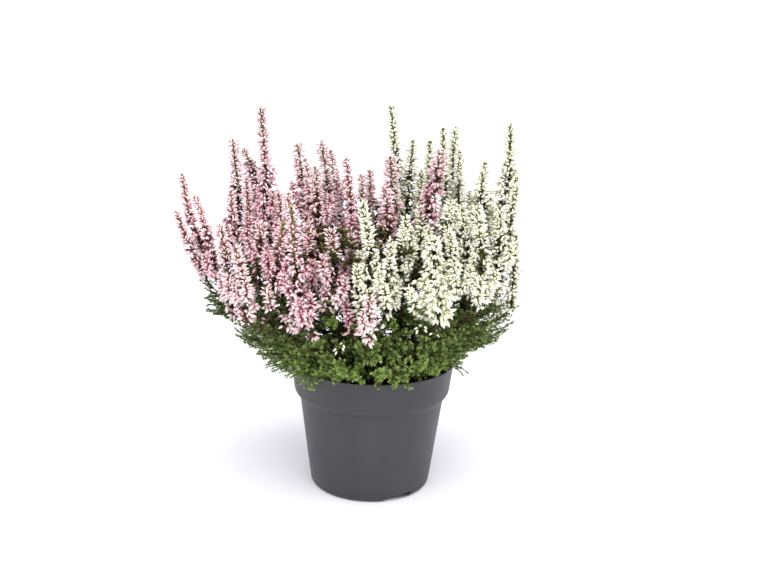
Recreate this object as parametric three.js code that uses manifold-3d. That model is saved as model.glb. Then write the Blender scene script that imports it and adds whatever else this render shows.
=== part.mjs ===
// Two heathers, one pink and one white, in a tapered plastic nursery pot.
// Units are millimetres, +Z is up, and -Y is the front.
// The origin is the middle of the pot's underside, on the surface it stands on.
import * as THREE from 'three';
import { mergeVertices } from 'three/addons/utils/BufferGeometryUtils.js';
import Module from 'manifold-3d';

const wasm = await Module();
wasm.setup();

// ---- pot -------------------------------------------------------------------
const POT_HEIGHT = 102.1;
const RIM_RADIUS = 65.0;        // outside, at the lip
const COLLAR_FOOT_RADIUS = 62.34; // outside, where the collar starts to round in
const COLLAR_FOOT_Z = 81.6;
const BODY_TOP_Z = 71.2;
const BODY_R0 = 48.0;           // the body's outside radius is BODY_R0 + BODY_TAPER * z
const BODY_TAPER = 0.1302;
const WALL = 1.35;
const FLOOR_UNDER_Z = 4.6;      // underside of the raised part of the floor
const FLOOR_WALL = 1.5;
const PAD_RADIUS = 13.0;        // flat middle of the underside, level with the foot
const FOOT_LINE_Z = 7.4;
const POT_SEGMENTS = 60;
const DRAIN_COUNT = 6;
const DRAIN_RADIUS = 3.6;
const DRAIN_PITCH_RADIUS = 30.0;
const FOOT_GAPS = 3;            // low gaps in the foot ring
const FOOT_GAP = [              // outline of a gap: degrees from the front towards +X, height
  [12, -1], [12, 0], [15, 2.3], [18, 3.6], [21.5, 4.2], [31, 3.3], [40, 1.8], [50, 0], [50, -1],
];
const VENT = [[33, 3.6], [42, 2.3], [42.5, 4.1], [33, 4.5]]; // the small vent beside each gap

// ---- growing medium --------------------------------------------------------
const SOIL_TOP_Z = 88.6;
const CLEARANCE = 0.35;         // between pieces that meet
const SOIL_SEGMENTS = 36;

// ---- woody bases -----------------------------------------------------------
const CROWN_RADIUS = 12.6;
const CROWN_Z = 87.0;           // middle of the dome that the stems leave
const PINK_CROWN = [-19, 4];
const WHITE_CROWN = [23, 4];
const ROOT_DEPTH = 24;

// ---- stems -----------------------------------------------------------------
const STEM_RADIUS = 1.15;       // with its close-set scale leaves
const STEM_SIDES = 6;

// Each flower stem: name, radius of its spike, points from the crown to the tip.
// The spike of buds starts at the fifth point.
const FLOWER_SPIKE_START = 4;
const PINK_STEMS = [
  ['pink_flower_stem_01', 6.7, [[-29.8,6.2,93.9], [-47.8,5.2,106.4], [-71.5,0.4,124.7], [-94.7,-3.6,143.7], [-125.6,-8,169.2], [-131.9,-4,187.9], [-141,1.3,212.6], [-150.1,8,244.2]]],
  ['pink_flower_stem_02', 6.1, [[-29.5,1.8,94.3], [-46.3,-3.3,106.7], [-68.7,-10.9,123.8], [-91.2,-18.6,140.7], [-121.2,-28.8,163.2], [-129.7,-27,176.6], [-139.3,-24.6,195.3], [-149.5,-21.5,219.6]]],
  ['pink_flower_stem_03', 6.5, [[-25.8,0.4,97.5], [-40.5,-6.6,111.6], [-62.6,-16.3,129], [-84.7,-26,146.4], [-114.1,-38.9,169.6], [-120,-32.7,184.9], [-126.2,-24.5,205.9], [-136.5,-14.2,231.4]]],
  ['pink_flower_stem_04', 7.7, [[-27.7,-2.1,94.5], [-40.3,-13,105.6], [-57.4,-27.7,120.1], [-75.2,-42.2,133.9], [-98.9,-61.5,152.4], [-102.9,-54.5,167.4], [-108,-45.3,187.6], [-114.6,-34,212.8]]],
  ['pink_flower_stem_05', 7.5, [[-25.1,-5.4,93.6], [-36,-19.1,103.7], [-51.7,-36.4,117.9], [-67.3,-53.6,132], [-88.2,-76.5,150.9], [-90.1,-70.4,163.2], [-94,-62.3,179.4], [-99.9,-52.3,199.5]]],
  ['pink_flower_stem_06', 7.6, [[-27,8.6,96.2], [-41.2,11,111.4], [-60.8,10.7,132.8], [-80.5,10.4,154.2], [-106.7,10,182.7], [-108.8,13,204.7], [-109.2,17,234.3], [-113.3,22,270.9]]],
  ['pink_flower_stem_07', 9.5, [[-27.3,4.4,97], [-38.3,4.2,112.3], [-51.9,3.6,134.1], [-65.5,2.9,155.9], [-83.6,2,184.9], [-84.6,4,213.1], [-86.1,6.6,250.6], [-89.8,10,297.5]]],
  ['pink_flower_stem_08', 9.2, [[-21,-6.4,94.5], [-25.3,-19.9,103.9], [-32.4,-37.5,116.7], [-39.5,-55,129.5], [-49,-78.5,146.6], [-53.2,-71.9,167.7], [-57.2,-63.3,196.1], [-60.1,-52.5,231.8]]],
  ['pink_flower_stem_09', 7.6, [[-23.4,-3.1,96.9], [-31.6,-13.9,110.3], [-43.4,-28,128], [-55.2,-42.1,145.7], [-71,-61,169.3], [-70.4,-57.1,181.4], [-68.9,-52,197.4], [-66.4,-45.6,217.5]]],
  ['pink_flower_stem_10', 7.1, [[-23.8,6,98.9], [-29.4,7,116.8], [-36.1,7.3,141.7], [-42.7,7.6,166.6], [-51.5,8,199.7], [-54.8,12,216.9], [-58.8,17.3,239.9], [-63.9,24,268.5]]],
  ['pink_flower_stem_11', 7.7, [[-22.1,1.6,99.4], [-26.1,-1.2,116.2], [-31.1,-4.4,139.4], [-36,-7.7,162.6], [-42.7,-12,193.4], [-43.7,-9,208.6], [-45.5,-5,228.7], [-47.3,-0,253.9]]],
  ['pink_flower_stem_12', 7.9, [[-19.7,5.6,99.9], [-21.8,7,115.1], [-25.5,8.5,135.9], [-29.3,10,156.6], [-34.3,12,184.2], [-36,15.5,206.1], [-38.8,20.1,235.3], [-44.6,26,271.4]]],
  ['pink_flower_stem_13', 7.3, [[-17.9,1.7,99.7], [-17.2,-0.5,114.4], [-16.8,-2.7,134.6], [-16.3,-5,154.8], [-15.8,-8,181.6], [-17.4,-4.5,201.3], [-19.7,0.1,227.5], [-24.3,6,260.1]]],
  ['pink_flower_stem_14', 4.8, [[-16.5,8.4,99], [-15.1,12.3,117], [-14.6,15.8,142.3], [-14.2,19.3,167.5], [-13.6,24,201.2], [-13.3,26.5,211.9], [-12.1,29.8,226.2], [-12.6,34,244.1]]],
  ['pink_flower_stem_15', 7.8, [[-14.7,4.5,99.3], [-10,4.7,116.7], [-4.6,4.8,140.8], [0.8,4.8,165], [8,4.9,197.1], [9.4,7.5,213.2], [11.5,11,234.7], [9.8,15.3,261.4]]],
  ['pink_flower_stem_16', 6.9, [[-11.7,2,97.6], [-1.3,-1.2,116.4], [11,-5.1,143.1], [23.2,-8.9,169.7], [39.6,-14,205.3], [38,-11,221.2], [43.6,-7,242.2], [47.3,-2,268.8]]],
  ['pink_flower_stem_17', 8.0, [[-19.2,-3.8,97.4], [-21.2,-14.2,108.7], [-25,-28.6,123.5], [-28.7,-42.9,138.3], [-33.6,-62,158], [-30,-56.4,171.5], [-29.9,-49.1,190.1], [-33.4,-40,213.1]]],
  ['pink_flower_stem_18', 6.7, [[-15.5,-6.8,93.4], [-12.6,-21.2,101.8], [-9.9,-40.4,113.8], [-7.1,-59.7,125.8], [-3.5,-85.3,141.9], [-3.1,-83.6,149.5], [-3.3,-81.4,159.8], [-3.3,-78.6,172.5]]],
  ['pink_flower_stem_19', 6.7, [[-14.8,-0.9,98.3], [-10.1,-6.4,115.6], [-5,-12.3,140.2], [0.2,-18.2,164.7], [7.1,-26,197.4], [8.6,-23.5,208.6], [8.3,-20.2,223.4], [5.1,-16,241.8]]],
  ['pink_flower_stem_20', 7.0, [[-29.7,10.2,91], [-41.3,17.2,97.7], [-56.5,26.5,107.9], [-71.7,35.7,115.6], [-92,48,126], [-99.6,47.9,143.1], [-108.5,47.6,166.4], [-118,46,196]]],
  ['pink_flower_stem_21', 8.0, [[-26.8,12.1,93.5], [-35.2,21.1,101.4], [-46.3,32.8,113], [-57.3,44.4,124.6], [-72,60,140], [-76.4,61.3,160.3], [-81.3,61.9,187.6], [-86,62,222]]],
  ['pink_flower_stem_22', 8.0, [[-24.8,14.9,90.9], [-30.7,28.3,96.5], [-37.9,46.2,105.5], [-44.8,64.1,112.5], [-54,88,122], [-56.2,87.8,140.5], [-58.3,87,165.2], [-60,84,196]]],
  ['pink_flower_stem_23', 8.0, [[-23,11.9,96.6], [-26.6,19.2,106.9], [-31.2,28.4,121.6], [-35.8,37.7,136.4], [-42,50,156], [-43,51.1,176], [-43.7,51.8,202.6], [-44,52,236]]],
  ['pink_flower_stem_24', 8.0, [[-18.8,16.4,90.9], [-18.6,30.4,95.7], [-18.4,48.9,103.1], [-18.3,67.4,109.7], [-18,92,118], [-18.2,93,136], [-18.3,93.3,160], [-18,92,190]]],
  ['pink_flower_stem_25', 8.0, [[-17.2,13.8,95.3], [-15.5,23.4,104.7], [-13.2,35.6,118.3], [-11,47.8,131.9], [-8,64,150], [-7.6,64,170.5], [-6.9,63.9,197.9], [-6,62,232]]],
];
const WHITE_STEMS = [
  ['white_flower_stem_01', 8.5, [[19,-5.9,94.4], [14,-18.2,104.8], [7.7,-33.7,119.8], [1.5,-49.1,134.8], [-6.9,-69.7,154.8], [-3.8,-63.7,174.9], [-4.2,-55.8,201.9], [-10.8,-46,235]]],
  ['white_flower_stem_02', 5.2, [[20.8,9.2,98.7], [19.4,14.5,121.5], [19.1,18.7,153.7], [18.8,22.9,185.9], [18.5,28.5,228.8], [16.6,29.9,246.5], [13.1,31.7,269.9], [9.3,34,299.2]]],
  ['white_flower_stem_03', 6.7, [[22.1,5.3,99.9], [21.9,6.9,118.6], [22.3,9.1,144.2], [22.8,11.2,169.8], [23.4,14.1,203.9], [24,16.8,221.4], [25.3,20.5,244.8], [27.6,25,273.9]]],
  ['white_flower_stem_04', 5.1, [[26.2,4.1,99.6], [31.6,5.1,121.7], [38.4,7.2,152], [45.3,9.2,182.2], [54.3,12,222.5], [53.5,14.5,237.7], [51.4,17.8,257.8], [50.2,22,282.9]]],
  ['white_flower_stem_05', 6.0, [[28.4,7.6,98.3], [35.1,11.2,117.6], [42.7,14.4,144.8], [50.3,17.7,172.1], [60.5,22,208.4], [61.3,25,227.4], [59.5,29,252.6], [61,34,284.1]]],
  ['white_flower_stem_06', 7.8, [[30,2.9,97.9], [40,1.5,114.7], [52.8,0.4,138.1], [65.5,-0.8,161.5], [82.6,-2.2,192.6], [82.1,1.5,209.2], [80.9,6.4,231.3], [83,12.6,258.8]]],
  ['white_flower_stem_07', 7.8, [[33.1,3.8,95.1], [47,2.4,112.7], [62.5,0.1,139.4], [78,-2.3,166], [98.7,-5.6,201.5], [97.3,-1.7,223.4], [100.6,3.4,252.5], [100.8,9.9,289.1]]],
  ['white_flower_stem_08', 9.5, [[25.1,-6.2,94.7], [28.7,-19.9,105.5], [33.6,-37.3,120.7], [38.6,-54.8,136], [45.2,-78,156.3], [42,-70.9,169.4], [41.9,-61.5,187.5], [41.8,-50,210.3]]],
  ['white_flower_stem_09', 7.7, [[22.1,-3.9,97.3], [21,-13.1,110.8], [19.8,-24.1,129.8], [18.5,-35.2,148.8], [16.8,-50,174.2], [17.2,-44.4,186.1], [19.5,-37.1,201.8], [21.9,-28,221.5]]],
  ['white_flower_stem_10', 8.1, [[26.9,-2.2,97.8], [33.8,-9.7,112.7], [43.9,-18.3,133], [54,-26.9,153.3], [67.4,-38.3,180.4], [67.8,-34.8,193], [66.5,-30,209.7], [62.5,-24.2,230.3]]],
  ['white_flower_stem_11', 8.0, [[29.1,-4.6,94.6], [37.5,-15.9,106.2], [48.6,-30,123.4], [59.7,-44.1,140.5], [74.5,-63,163.3], [76.6,-55.4,180.6], [76.4,-45.4,203.7], [73.3,-33.1,232.6]]],
  ['white_flower_stem_12', 8.2, [[30.7,-1,96.2], [41.8,-9.1,109.7], [56.3,-19.9,128.6], [70.7,-30.7,147.5], [89.9,-45.1,172.7], [90.3,-40.3,187.2], [91.2,-33.9,206.4], [91.2,-25.9,230.6]]],
  ['white_flower_stem_13', 6.4, [[33.1,-1.8,92.7], [46.1,-9.3,102.9], [62.4,-18.4,118.7], [78.8,-27.4,134.5], [100.5,-39.6,155.6], [102.7,-36.6,168.8], [103.2,-32.6,186.5], [104.2,-27.7,208.7]]],
  ['white_flower_stem_14', 8.0, [[21.8,12.9,96.4], [20.7,21.6,107.1], [19.3,32.5,122.4], [17.9,43.4,137.7], [16,58,158], [17.2,58,177.5], [18.6,57.7,203.5], [20,56,236]]],
  ['white_flower_stem_15', 8.0, [[22.2,16.4,90.9], [22.2,30.5,96.2], [22.7,48.9,104.5], [23.3,67.4,112.9], [24,92,124], [24.8,93,142.5], [25.5,93.3,167.2], [26,92,198]]],
  ['white_flower_stem_16', 8.0, [[28,12.4,95.6], [32.7,21.5,105.1], [38.5,33.7,118.6], [44.3,45.8,132], [52,62,150], [54.1,62.7,170], [56.3,62.9,196.6], [58,62,230]]],
  ['white_flower_stem_17', 8.0, [[27.9,15.4,90.9], [33.9,28.7,97.4], [41.9,46.5,106.2], [49.6,64.3,110.4], [60,88,116], [62.2,89.6,133.4], [64.4,90.3,156.7], [66,90,186]]],
  ['white_flower_stem_18', 8.0, [[31.8,10.3,94.2], [40.9,18.2,101.4], [52.6,29.6,111.2], [64.4,40.9,121], [80,56,134], [84.5,56.6,151.8], [89.4,56.8,175.8], [94,56,206]]],
  ['white_flower_stem_19', 7.0, [[31.5,13,90.9], [40.6,23.9,97.4], [52.4,39,106.2], [64.2,54,110.4], [80,74,116], [85.4,76.8,128.1], [91.6,79.7,144.6], [98,82,166]]],
];

// Each leafy shoot: name, radius of its leafy part, points from the crown to the tip.
// The leafy part starts at the third point.
const LEAFY_START = 2;
const GREEN_SHOOTS = [
  ['green_shoot_01', 5.5, [[-31.4,3.6,90.9], [-44.9,2.5,105.9], [-57.9,4.1,120.5], [-73,5.8,132], [-90.8,4.2,138.9], [-109,-1.8,144], [-127.5,-8,148.4]]],
  ['green_shoot_02', 5.5, [[-30.5,-0.6,90.9], [-43.4,-4.6,99.3], [-56,-8.4,107.5], [-68,-12.5,112.2], [-79.3,-17.1,116.6], [-90.6,-21.6,120.9], [-101.7,-26,125.3]]],
  ['green_shoot_03', 5.1, [[-28.2,-4.3,90.9], [-39.1,-10.8,98.9], [-50.3,-16.8,106.7], [-59.1,-23.7,110.9], [-66.4,-31.1,113.3], [-73.7,-38.6,115.5], [-80.9,-46,117.8]]],
  ['green_shoot_04', 5.0, [[-22.8,-7.8,90.9], [-28.3,-17.5,96.9], [-33.7,-26.9,102.5], [-39.1,-36.3,108], [-44.6,-45.6,109.8], [-50,-54.8,110.1], [-55.4,-64,110.5]]],
  ['green_shoot_05', 5.0, [[-18.6,-8.4,90.9], [-18.9,-20,96.4], [-19.3,-31.3,101.1], [-19.7,-42.6,105.8], [-20.1,-53.8,109.6], [-20.4,-64.9,111.1], [-20.8,-76,112.5]]],
  ['green_shoot_06', 5.0, [[21,-8.1,91.3], [18.8,-20.1,96.8], [16.7,-31.8,101.3], [14.6,-43.5,105.5], [12.5,-55,109.2], [10.5,-66.5,112.4], [8.4,-78,115.5]]],
  ['green_shoot_07', 5.0, [[25.2,-8.2,90.9], [27.1,-18.6,96.7], [29,-28.7,101.9], [30.9,-38.7,107], [32.9,-48.6,111.4], [35.1,-58.3,115.2], [37.2,-68,118.9]]],
  ['green_shoot_08', 4.5, [[31.3,-5.2,90.9], [37.6,-10.6,96.9], [43.7,-15.7,102.9], [49.8,-20.8,108.2], [55.9,-25.9,110], [61.9,-31,111.1], [67.9,-36,112.2]]],
  ['green_shoot_09', 5.5, [[35.2,1.5,90.9], [45.4,-1.1,99.2], [55.3,-3.7,107.5], [65.2,-6.3,112.1], [75,-8.9,116], [84.7,-11.5,119.9], [94.4,-14,123.7]]],
  ['green_shoot_10', 5.5, [[35,5.8,91.6], [48.3,5.9,101.1], [61,5.9,109.7], [73.5,5.9,117.8], [85.8,6,125.7], [98.1,6,133.6], [110.2,6,141.4]]],
  ['green_shoot_11', 5.5, [[-21.6,14.8,93.7], [-25.2,24.9,99.8], [-28.4,34.8,105.2], [-31.7,44.6,110.2], [-35.9,54.4,113.8], [-40.4,64.2,116.5], [-44.8,74,119.1]]],
  ['green_shoot_12', 5.5, [[24.9,14.8,93.9], [28.1,25,100.1], [30.9,35,105.7], [34.4,44.9,110.2], [39.1,54.6,113.1], [43.6,64.3,115.6], [48,74,118]]],
];

// ---- helpers ---------------------------------------------------------------
const v2 = (r, z) => new THREE.Vector2(r, z);

// Keeps position alone and joins equal vertices.
function welded(geometry, tolerance = 1e-4) {
  const g = geometry.clone();
  g.deleteAttribute('normal');
  if (g.attributes.uv) g.deleteAttribute('uv');
  return mergeVertices(g, tolerance);
}

function toSolid(geometry) {
  const g = welded(geometry);
  return new wasm.Manifold(new wasm.Mesh({
    numProp: 3,
    vertProperties: new Float32Array(g.attributes.position.array),
    triVerts: new Uint32Array(g.index.array),
  }));
}

function toGeometry(solid) {
  const m = solid.getMesh();
  const g = new THREE.BufferGeometry();
  const positions = new Float32Array(m.numVert * 3);
  for (let i = 0; i < m.numVert; i++) {
    for (let k = 0; k < 3; k++) positions[i * 3 + k] = m.vertProperties[i * m.numProp + k];
  }
  g.setAttribute('position', new THREE.BufferAttribute(positions, 3));
  g.setIndex(new THREE.BufferAttribute(new Uint32Array(m.triVerts), 1));
  g.computeVertexNormals();
  return g;
}

// A turned solid about +Z from points of (radius, z), listed upwards along the outside.
function turned(points, segments) {
  const g = new THREE.LatheGeometry(points, segments);
  g.rotateX(Math.PI / 2);
  return g;
}

const bodyRadius = (z) => BODY_R0 + BODY_TAPER * z;

// ---- pot -------------------------------------------------------------------
function potGeometry() {
  const top = POT_HEIGHT;
  const outer = [
    v2(0, 0), v2(PAD_RADIUS, 0), v2(14.6, 0.7), v2(18.4, FLOOR_UNDER_Z),
    v2(46.0, FLOOR_UNDER_Z), v2(45.4, 2.4), v2(43.9, 0.0),
    v2(45.4, 0.0), v2(46.7, 0.55), v2(47.7, 1.5), v2(48.25, 3.0),
    v2(bodyRadius(FOOT_LINE_Z) - 0.4, FOOT_LINE_Z - 0.25),
    v2(bodyRadius(FOOT_LINE_Z), FOOT_LINE_Z + 0.25),
    v2(bodyRadius(BODY_TOP_Z), BODY_TOP_Z),
    v2(58.1, 73.3), v2(59.7, 75.3), v2(60.5, 76.3), v2(61.4, 77.8), v2(62.05, 79.6),
    v2(COLLAR_FOOT_RADIUS, COLLAR_FOOT_Z),
    v2(RIM_RADIUS - 0.2, top - 1.6), v2(RIM_RADIUS, top - 0.8), v2(RIM_RADIUS - 0.35, top - 0.1),
  ];
  const inner = [
    v2(RIM_RADIUS - 0.9, top), v2(RIM_RADIUS - 1.45, top - 0.5), v2(RIM_RADIUS - 1.6, top - 1.8),
    v2(COLLAR_FOOT_RADIUS - WALL, COLLAR_FOOT_Z),
    v2(60.3, 79.2), v2(59.2, 77.3), v2(57.2, 74.6),
    v2(bodyRadius(BODY_TOP_Z) - WALL, BODY_TOP_Z - 0.4),
    v2(bodyRadius(9) - WALL, 9), v2(46.6, FLOOR_UNDER_Z + FLOOR_WALL + 0.7),
    v2(45.0, FLOOR_UNDER_Z + FLOOR_WALL),
    v2(18.9, FLOOR_UNDER_Z + FLOOR_WALL), v2(15.2, 2.0), v2(14.0, FLOOR_WALL), v2(0, FLOOR_WALL),
  ];
  let pot = toSolid(turned([...outer, ...inner], POT_SEGMENTS));

  const drill = new THREE.CylinderGeometry(DRAIN_RADIUS, DRAIN_RADIUS, 6, 16);
  drill.rotateX(Math.PI / 2);
  for (let i = 0; i < DRAIN_COUNT; i++) {
    const a = ((i + 0.5) / DRAIN_COUNT) * 2 * Math.PI;
    const hole = drill.clone().translate(
      DRAIN_PITCH_RADIUS * Math.cos(a), DRAIN_PITCH_RADIUS * Math.sin(a), FLOOR_UNDER_Z + 1);
    pot = pot.subtract(toSolid(hole));
  }

  // A cutter with its outline in (arc length, z), pushed out through the foot ring.
  const rad = Math.PI / 180;
  for (let i = 0; i < FOOT_GAPS; i++) {
    const cut = (outline) => {
      const middle = (outline[0][0] + outline[outline.length - 2][0]) / 2;
      const s = new THREE.Shape();
      outline.forEach(([degrees, z], k) => {
        const x = 47.5 * Math.sin((degrees - middle) * rad);
        if (k) s.lineTo(x, z); else s.moveTo(x, z);
      });
      s.closePath();
      const g = new THREE.ExtrudeGeometry(s, { depth: 12, bevelEnabled: false });
      g.rotateX(Math.PI / 2);           // outline z to +Z, depth to -Y
      g.rotateZ(Math.PI / 2);           // depth to +X
      g.translate(40, 0, 0);
      g.rotateZ((middle + (i * 360) / FOOT_GAPS) * rad - Math.PI / 2);
      return toSolid(g);
    };
    pot = pot.subtract(cut(FOOT_GAP));
    pot = pot.subtract(cut(VENT));
  }
  return toGeometry(pot);
}

// ---- woody base, with a root part that sits in a pocket of the medium ------
function crownProfile(grow) {
  const seat = SOIL_TOP_Z + CLEARANCE;
  const pts = [v2(0, SOIL_TOP_Z - ROOT_DEPTH - grow)];
  pts.push(v2(2.2 + grow, SOIL_TOP_Z - ROOT_DEPTH + 2 - grow));
  pts.push(v2(4.4 + grow, SOIL_TOP_Z - 9));
  pts.push(v2(5.2 + grow, grow ? SOIL_TOP_Z + 6 : seat));
  if (grow) {
    pts.push(v2(0, SOIL_TOP_Z + 6));
    return pts;
  }
  const from = Math.asin((seat - CROWN_Z) / CROWN_RADIUS);
  for (let i = 0; i <= 7; i++) {
    const a = from + ((Math.PI / 2 - from) * i) / 7;
    pts.push(i === 7 ? v2(0, CROWN_Z + CROWN_RADIUS) : v2(CROWN_RADIUS * Math.cos(a), CROWN_Z + CROWN_RADIUS * Math.sin(a)));
  }
  return pts;
}

function crownGeometry([x, y]) {
  const g = turned(crownProfile(0), 18);
  g.translate(x, y, 0);
  return g;
}

// ---- growing medium --------------------------------------------------------
// Its underside is flat, and the dimple in the middle of the pot's floor stays open under it.
function soilGeometry() {
  const c = CLEARANCE;
  const floor = FLOOR_UNDER_Z + FLOOR_WALL + c;
  const pts = [
    v2(0, floor), v2(44.8, floor),
    v2(46.2, floor + 0.7), v2(bodyRadius(9) - WALL - c, 9.6),
    v2(bodyRadius(BODY_TOP_Z) - WALL - c, BODY_TOP_Z),
    v2(56.6, 74.6), v2(58.7, 77.5), v2(59.9, 79.6), v2(COLLAR_FOOT_RADIUS - WALL - c - 0.1, COLLAR_FOOT_Z + 0.4),
    v2(61.2, SOIL_TOP_Z - 1.6), v2(58.5, SOIL_TOP_Z - 0.5), v2(50, SOIL_TOP_Z), v2(0, SOIL_TOP_Z),
  ];
  let soil = toSolid(turned(pts, SOIL_SEGMENTS));
  for (const [x, y] of [PINK_CROWN, WHITE_CROWN]) {
    const pocket = turned(crownProfile(CLEARANCE), 18);
    pocket.translate(x, y, 0);
    soil = soil.subtract(toSolid(pocket));
  }
  return toGeometry(soil);
}

// ---- a stem: a turned profile bent along its path --------------------------
// profile is a list of (fraction of the path, radius), and both ends close on the path.
function bentAlong(points, profile) {
  const path = new THREE.CatmullRomCurve3(points.map((p) => new THREE.Vector3(...p)), false, 'centripetal');
  path.arcLengthDivisions = 400;
  const length = path.getLength();
  const lathe = new THREE.LatheGeometry(profile.map(([s, r]) => v2(r, s * length)), STEM_SIDES);
  const g = welded(lathe, 1e-5);
  const steps = 200;
  const frames = path.computeFrenetFrames(steps, false);
  const position = g.attributes.position;
  const out = new THREE.Vector3();
  for (let i = 0; i < position.count; i++) {
    const s = Math.min(Math.max(position.getY(i) / length, 0), 1);
    const at = path.getPointAt(s);
    const k = Math.round(s * steps);
    out.copy(at)
      .addScaledVector(frames.normals[k], position.getZ(i))
      .addScaledVector(frames.binormals[k], position.getX(i));
    position.setXYZ(i, out.x, out.y, out.z);
  }
  g.computeVertexNormals();
  return g;
}

// How far along the path its point number i lies, as a fraction of its length.
function fractionAt(points, i) {
  const path = new THREE.CatmullRomCurve3(points.map((p) => new THREE.Vector3(...p)), false, 'centripetal');
  path.arcLengthDivisions = 400;
  const lengths = path.getLengths(400);
  return lengths[Math.round((i / (points.length - 1)) * 400)] / lengths[400];
}

function flowerStem(points, radius) {
  const start = fractionAt(points, FLOWER_SPIKE_START);
  const at = (t) => start + (1 - start) * t;
  const profile = [[0, 0], [0.0, STEM_RADIUS]];
  for (let i = 1; i <= 4; i++) profile.push([(start * i) / 4.3, STEM_RADIUS]);
  profile.push([at(0.0), radius * 0.55], [at(0.12), radius * 0.96], [at(0.38), radius * 0.98],
    [at(0.62), radius * 0.8], [at(0.84), radius * 0.56], [at(0.97), radius * 0.32], [1, 0]);
  return bentAlong(points, profile);
}

function leafyShoot(points, radius) {
  const start = fractionAt(points, LEAFY_START);
  const at = (t) => start + (1 - start) * t;
  return bentAlong(points, [[0, 0], [0, STEM_RADIUS], [start * 0.5, STEM_RADIUS], [start * 0.92, STEM_RADIUS],
    [at(0.05), radius * 0.6], [at(0.22), radius * 0.96], [at(0.5), radius * 0.96], [at(0.78), radius * 0.78],
    [at(0.94), radius * 0.42], [1, 0]]);
}

// ---- materials and assembly ------------------------------------------------
const potPlastic = new THREE.MeshStandardMaterial({ color: 0x55545a, roughness: 0.55, metalness: 0 });
const peat = new THREE.MeshStandardMaterial({ color: 0x2a1d16, roughness: 1, metalness: 0 });
const bark = new THREE.MeshStandardMaterial({ color: 0x5b4030, roughness: 0.9, metalness: 0 });
const pinkBuds = new THREE.MeshStandardMaterial({ color: 0xd8a3b8, roughness: 0.6, metalness: 0 });
const whiteBuds = new THREE.MeshStandardMaterial({ color: 0xf1f1df, roughness: 0.6, metalness: 0 });
const leaves = new THREE.MeshStandardMaterial({ color: 0x3f6a2c, roughness: 0.65, metalness: 0 });

const group = new THREE.Group();

function addPart(name, geometry, material) {
  const mesh = new THREE.Mesh(geometry, material);
  mesh.name = name;
  group.add(mesh);
}

addPart('nursery_pot', potGeometry(), potPlastic);
addPart('growing_medium', soilGeometry(), peat);
addPart('pink_woody_base', crownGeometry(PINK_CROWN), bark);
addPart('white_woody_base', crownGeometry(WHITE_CROWN), bark);
for (const [name, radius, points] of PINK_STEMS) addPart(name, flowerStem(points, radius), pinkBuds);
for (const [name, radius, points] of WHITE_STEMS) addPart(name, flowerStem(points, radius), whiteBuds);
for (const [name, radius, points] of GREEN_SHOOTS) addPart(name, leafyShoot(points, radius), leaves);

export default group;
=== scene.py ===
import math

import bpy
import numpy as np
from mathutils import Matrix, Vector


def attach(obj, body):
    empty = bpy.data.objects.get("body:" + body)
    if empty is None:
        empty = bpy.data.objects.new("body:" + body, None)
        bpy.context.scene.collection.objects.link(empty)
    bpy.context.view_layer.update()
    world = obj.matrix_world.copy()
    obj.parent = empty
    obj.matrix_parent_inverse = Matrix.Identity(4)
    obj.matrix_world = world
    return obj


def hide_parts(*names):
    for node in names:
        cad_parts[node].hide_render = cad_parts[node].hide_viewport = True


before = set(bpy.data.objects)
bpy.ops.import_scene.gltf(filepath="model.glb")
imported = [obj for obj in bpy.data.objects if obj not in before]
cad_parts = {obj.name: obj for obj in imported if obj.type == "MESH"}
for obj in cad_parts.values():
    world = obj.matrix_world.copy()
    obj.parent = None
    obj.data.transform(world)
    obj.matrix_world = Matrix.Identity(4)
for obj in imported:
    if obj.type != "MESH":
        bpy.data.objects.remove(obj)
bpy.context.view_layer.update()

MM = 0.001
ROWS = 32  # rows of the colour chart that a plant piece's map points at

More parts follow.
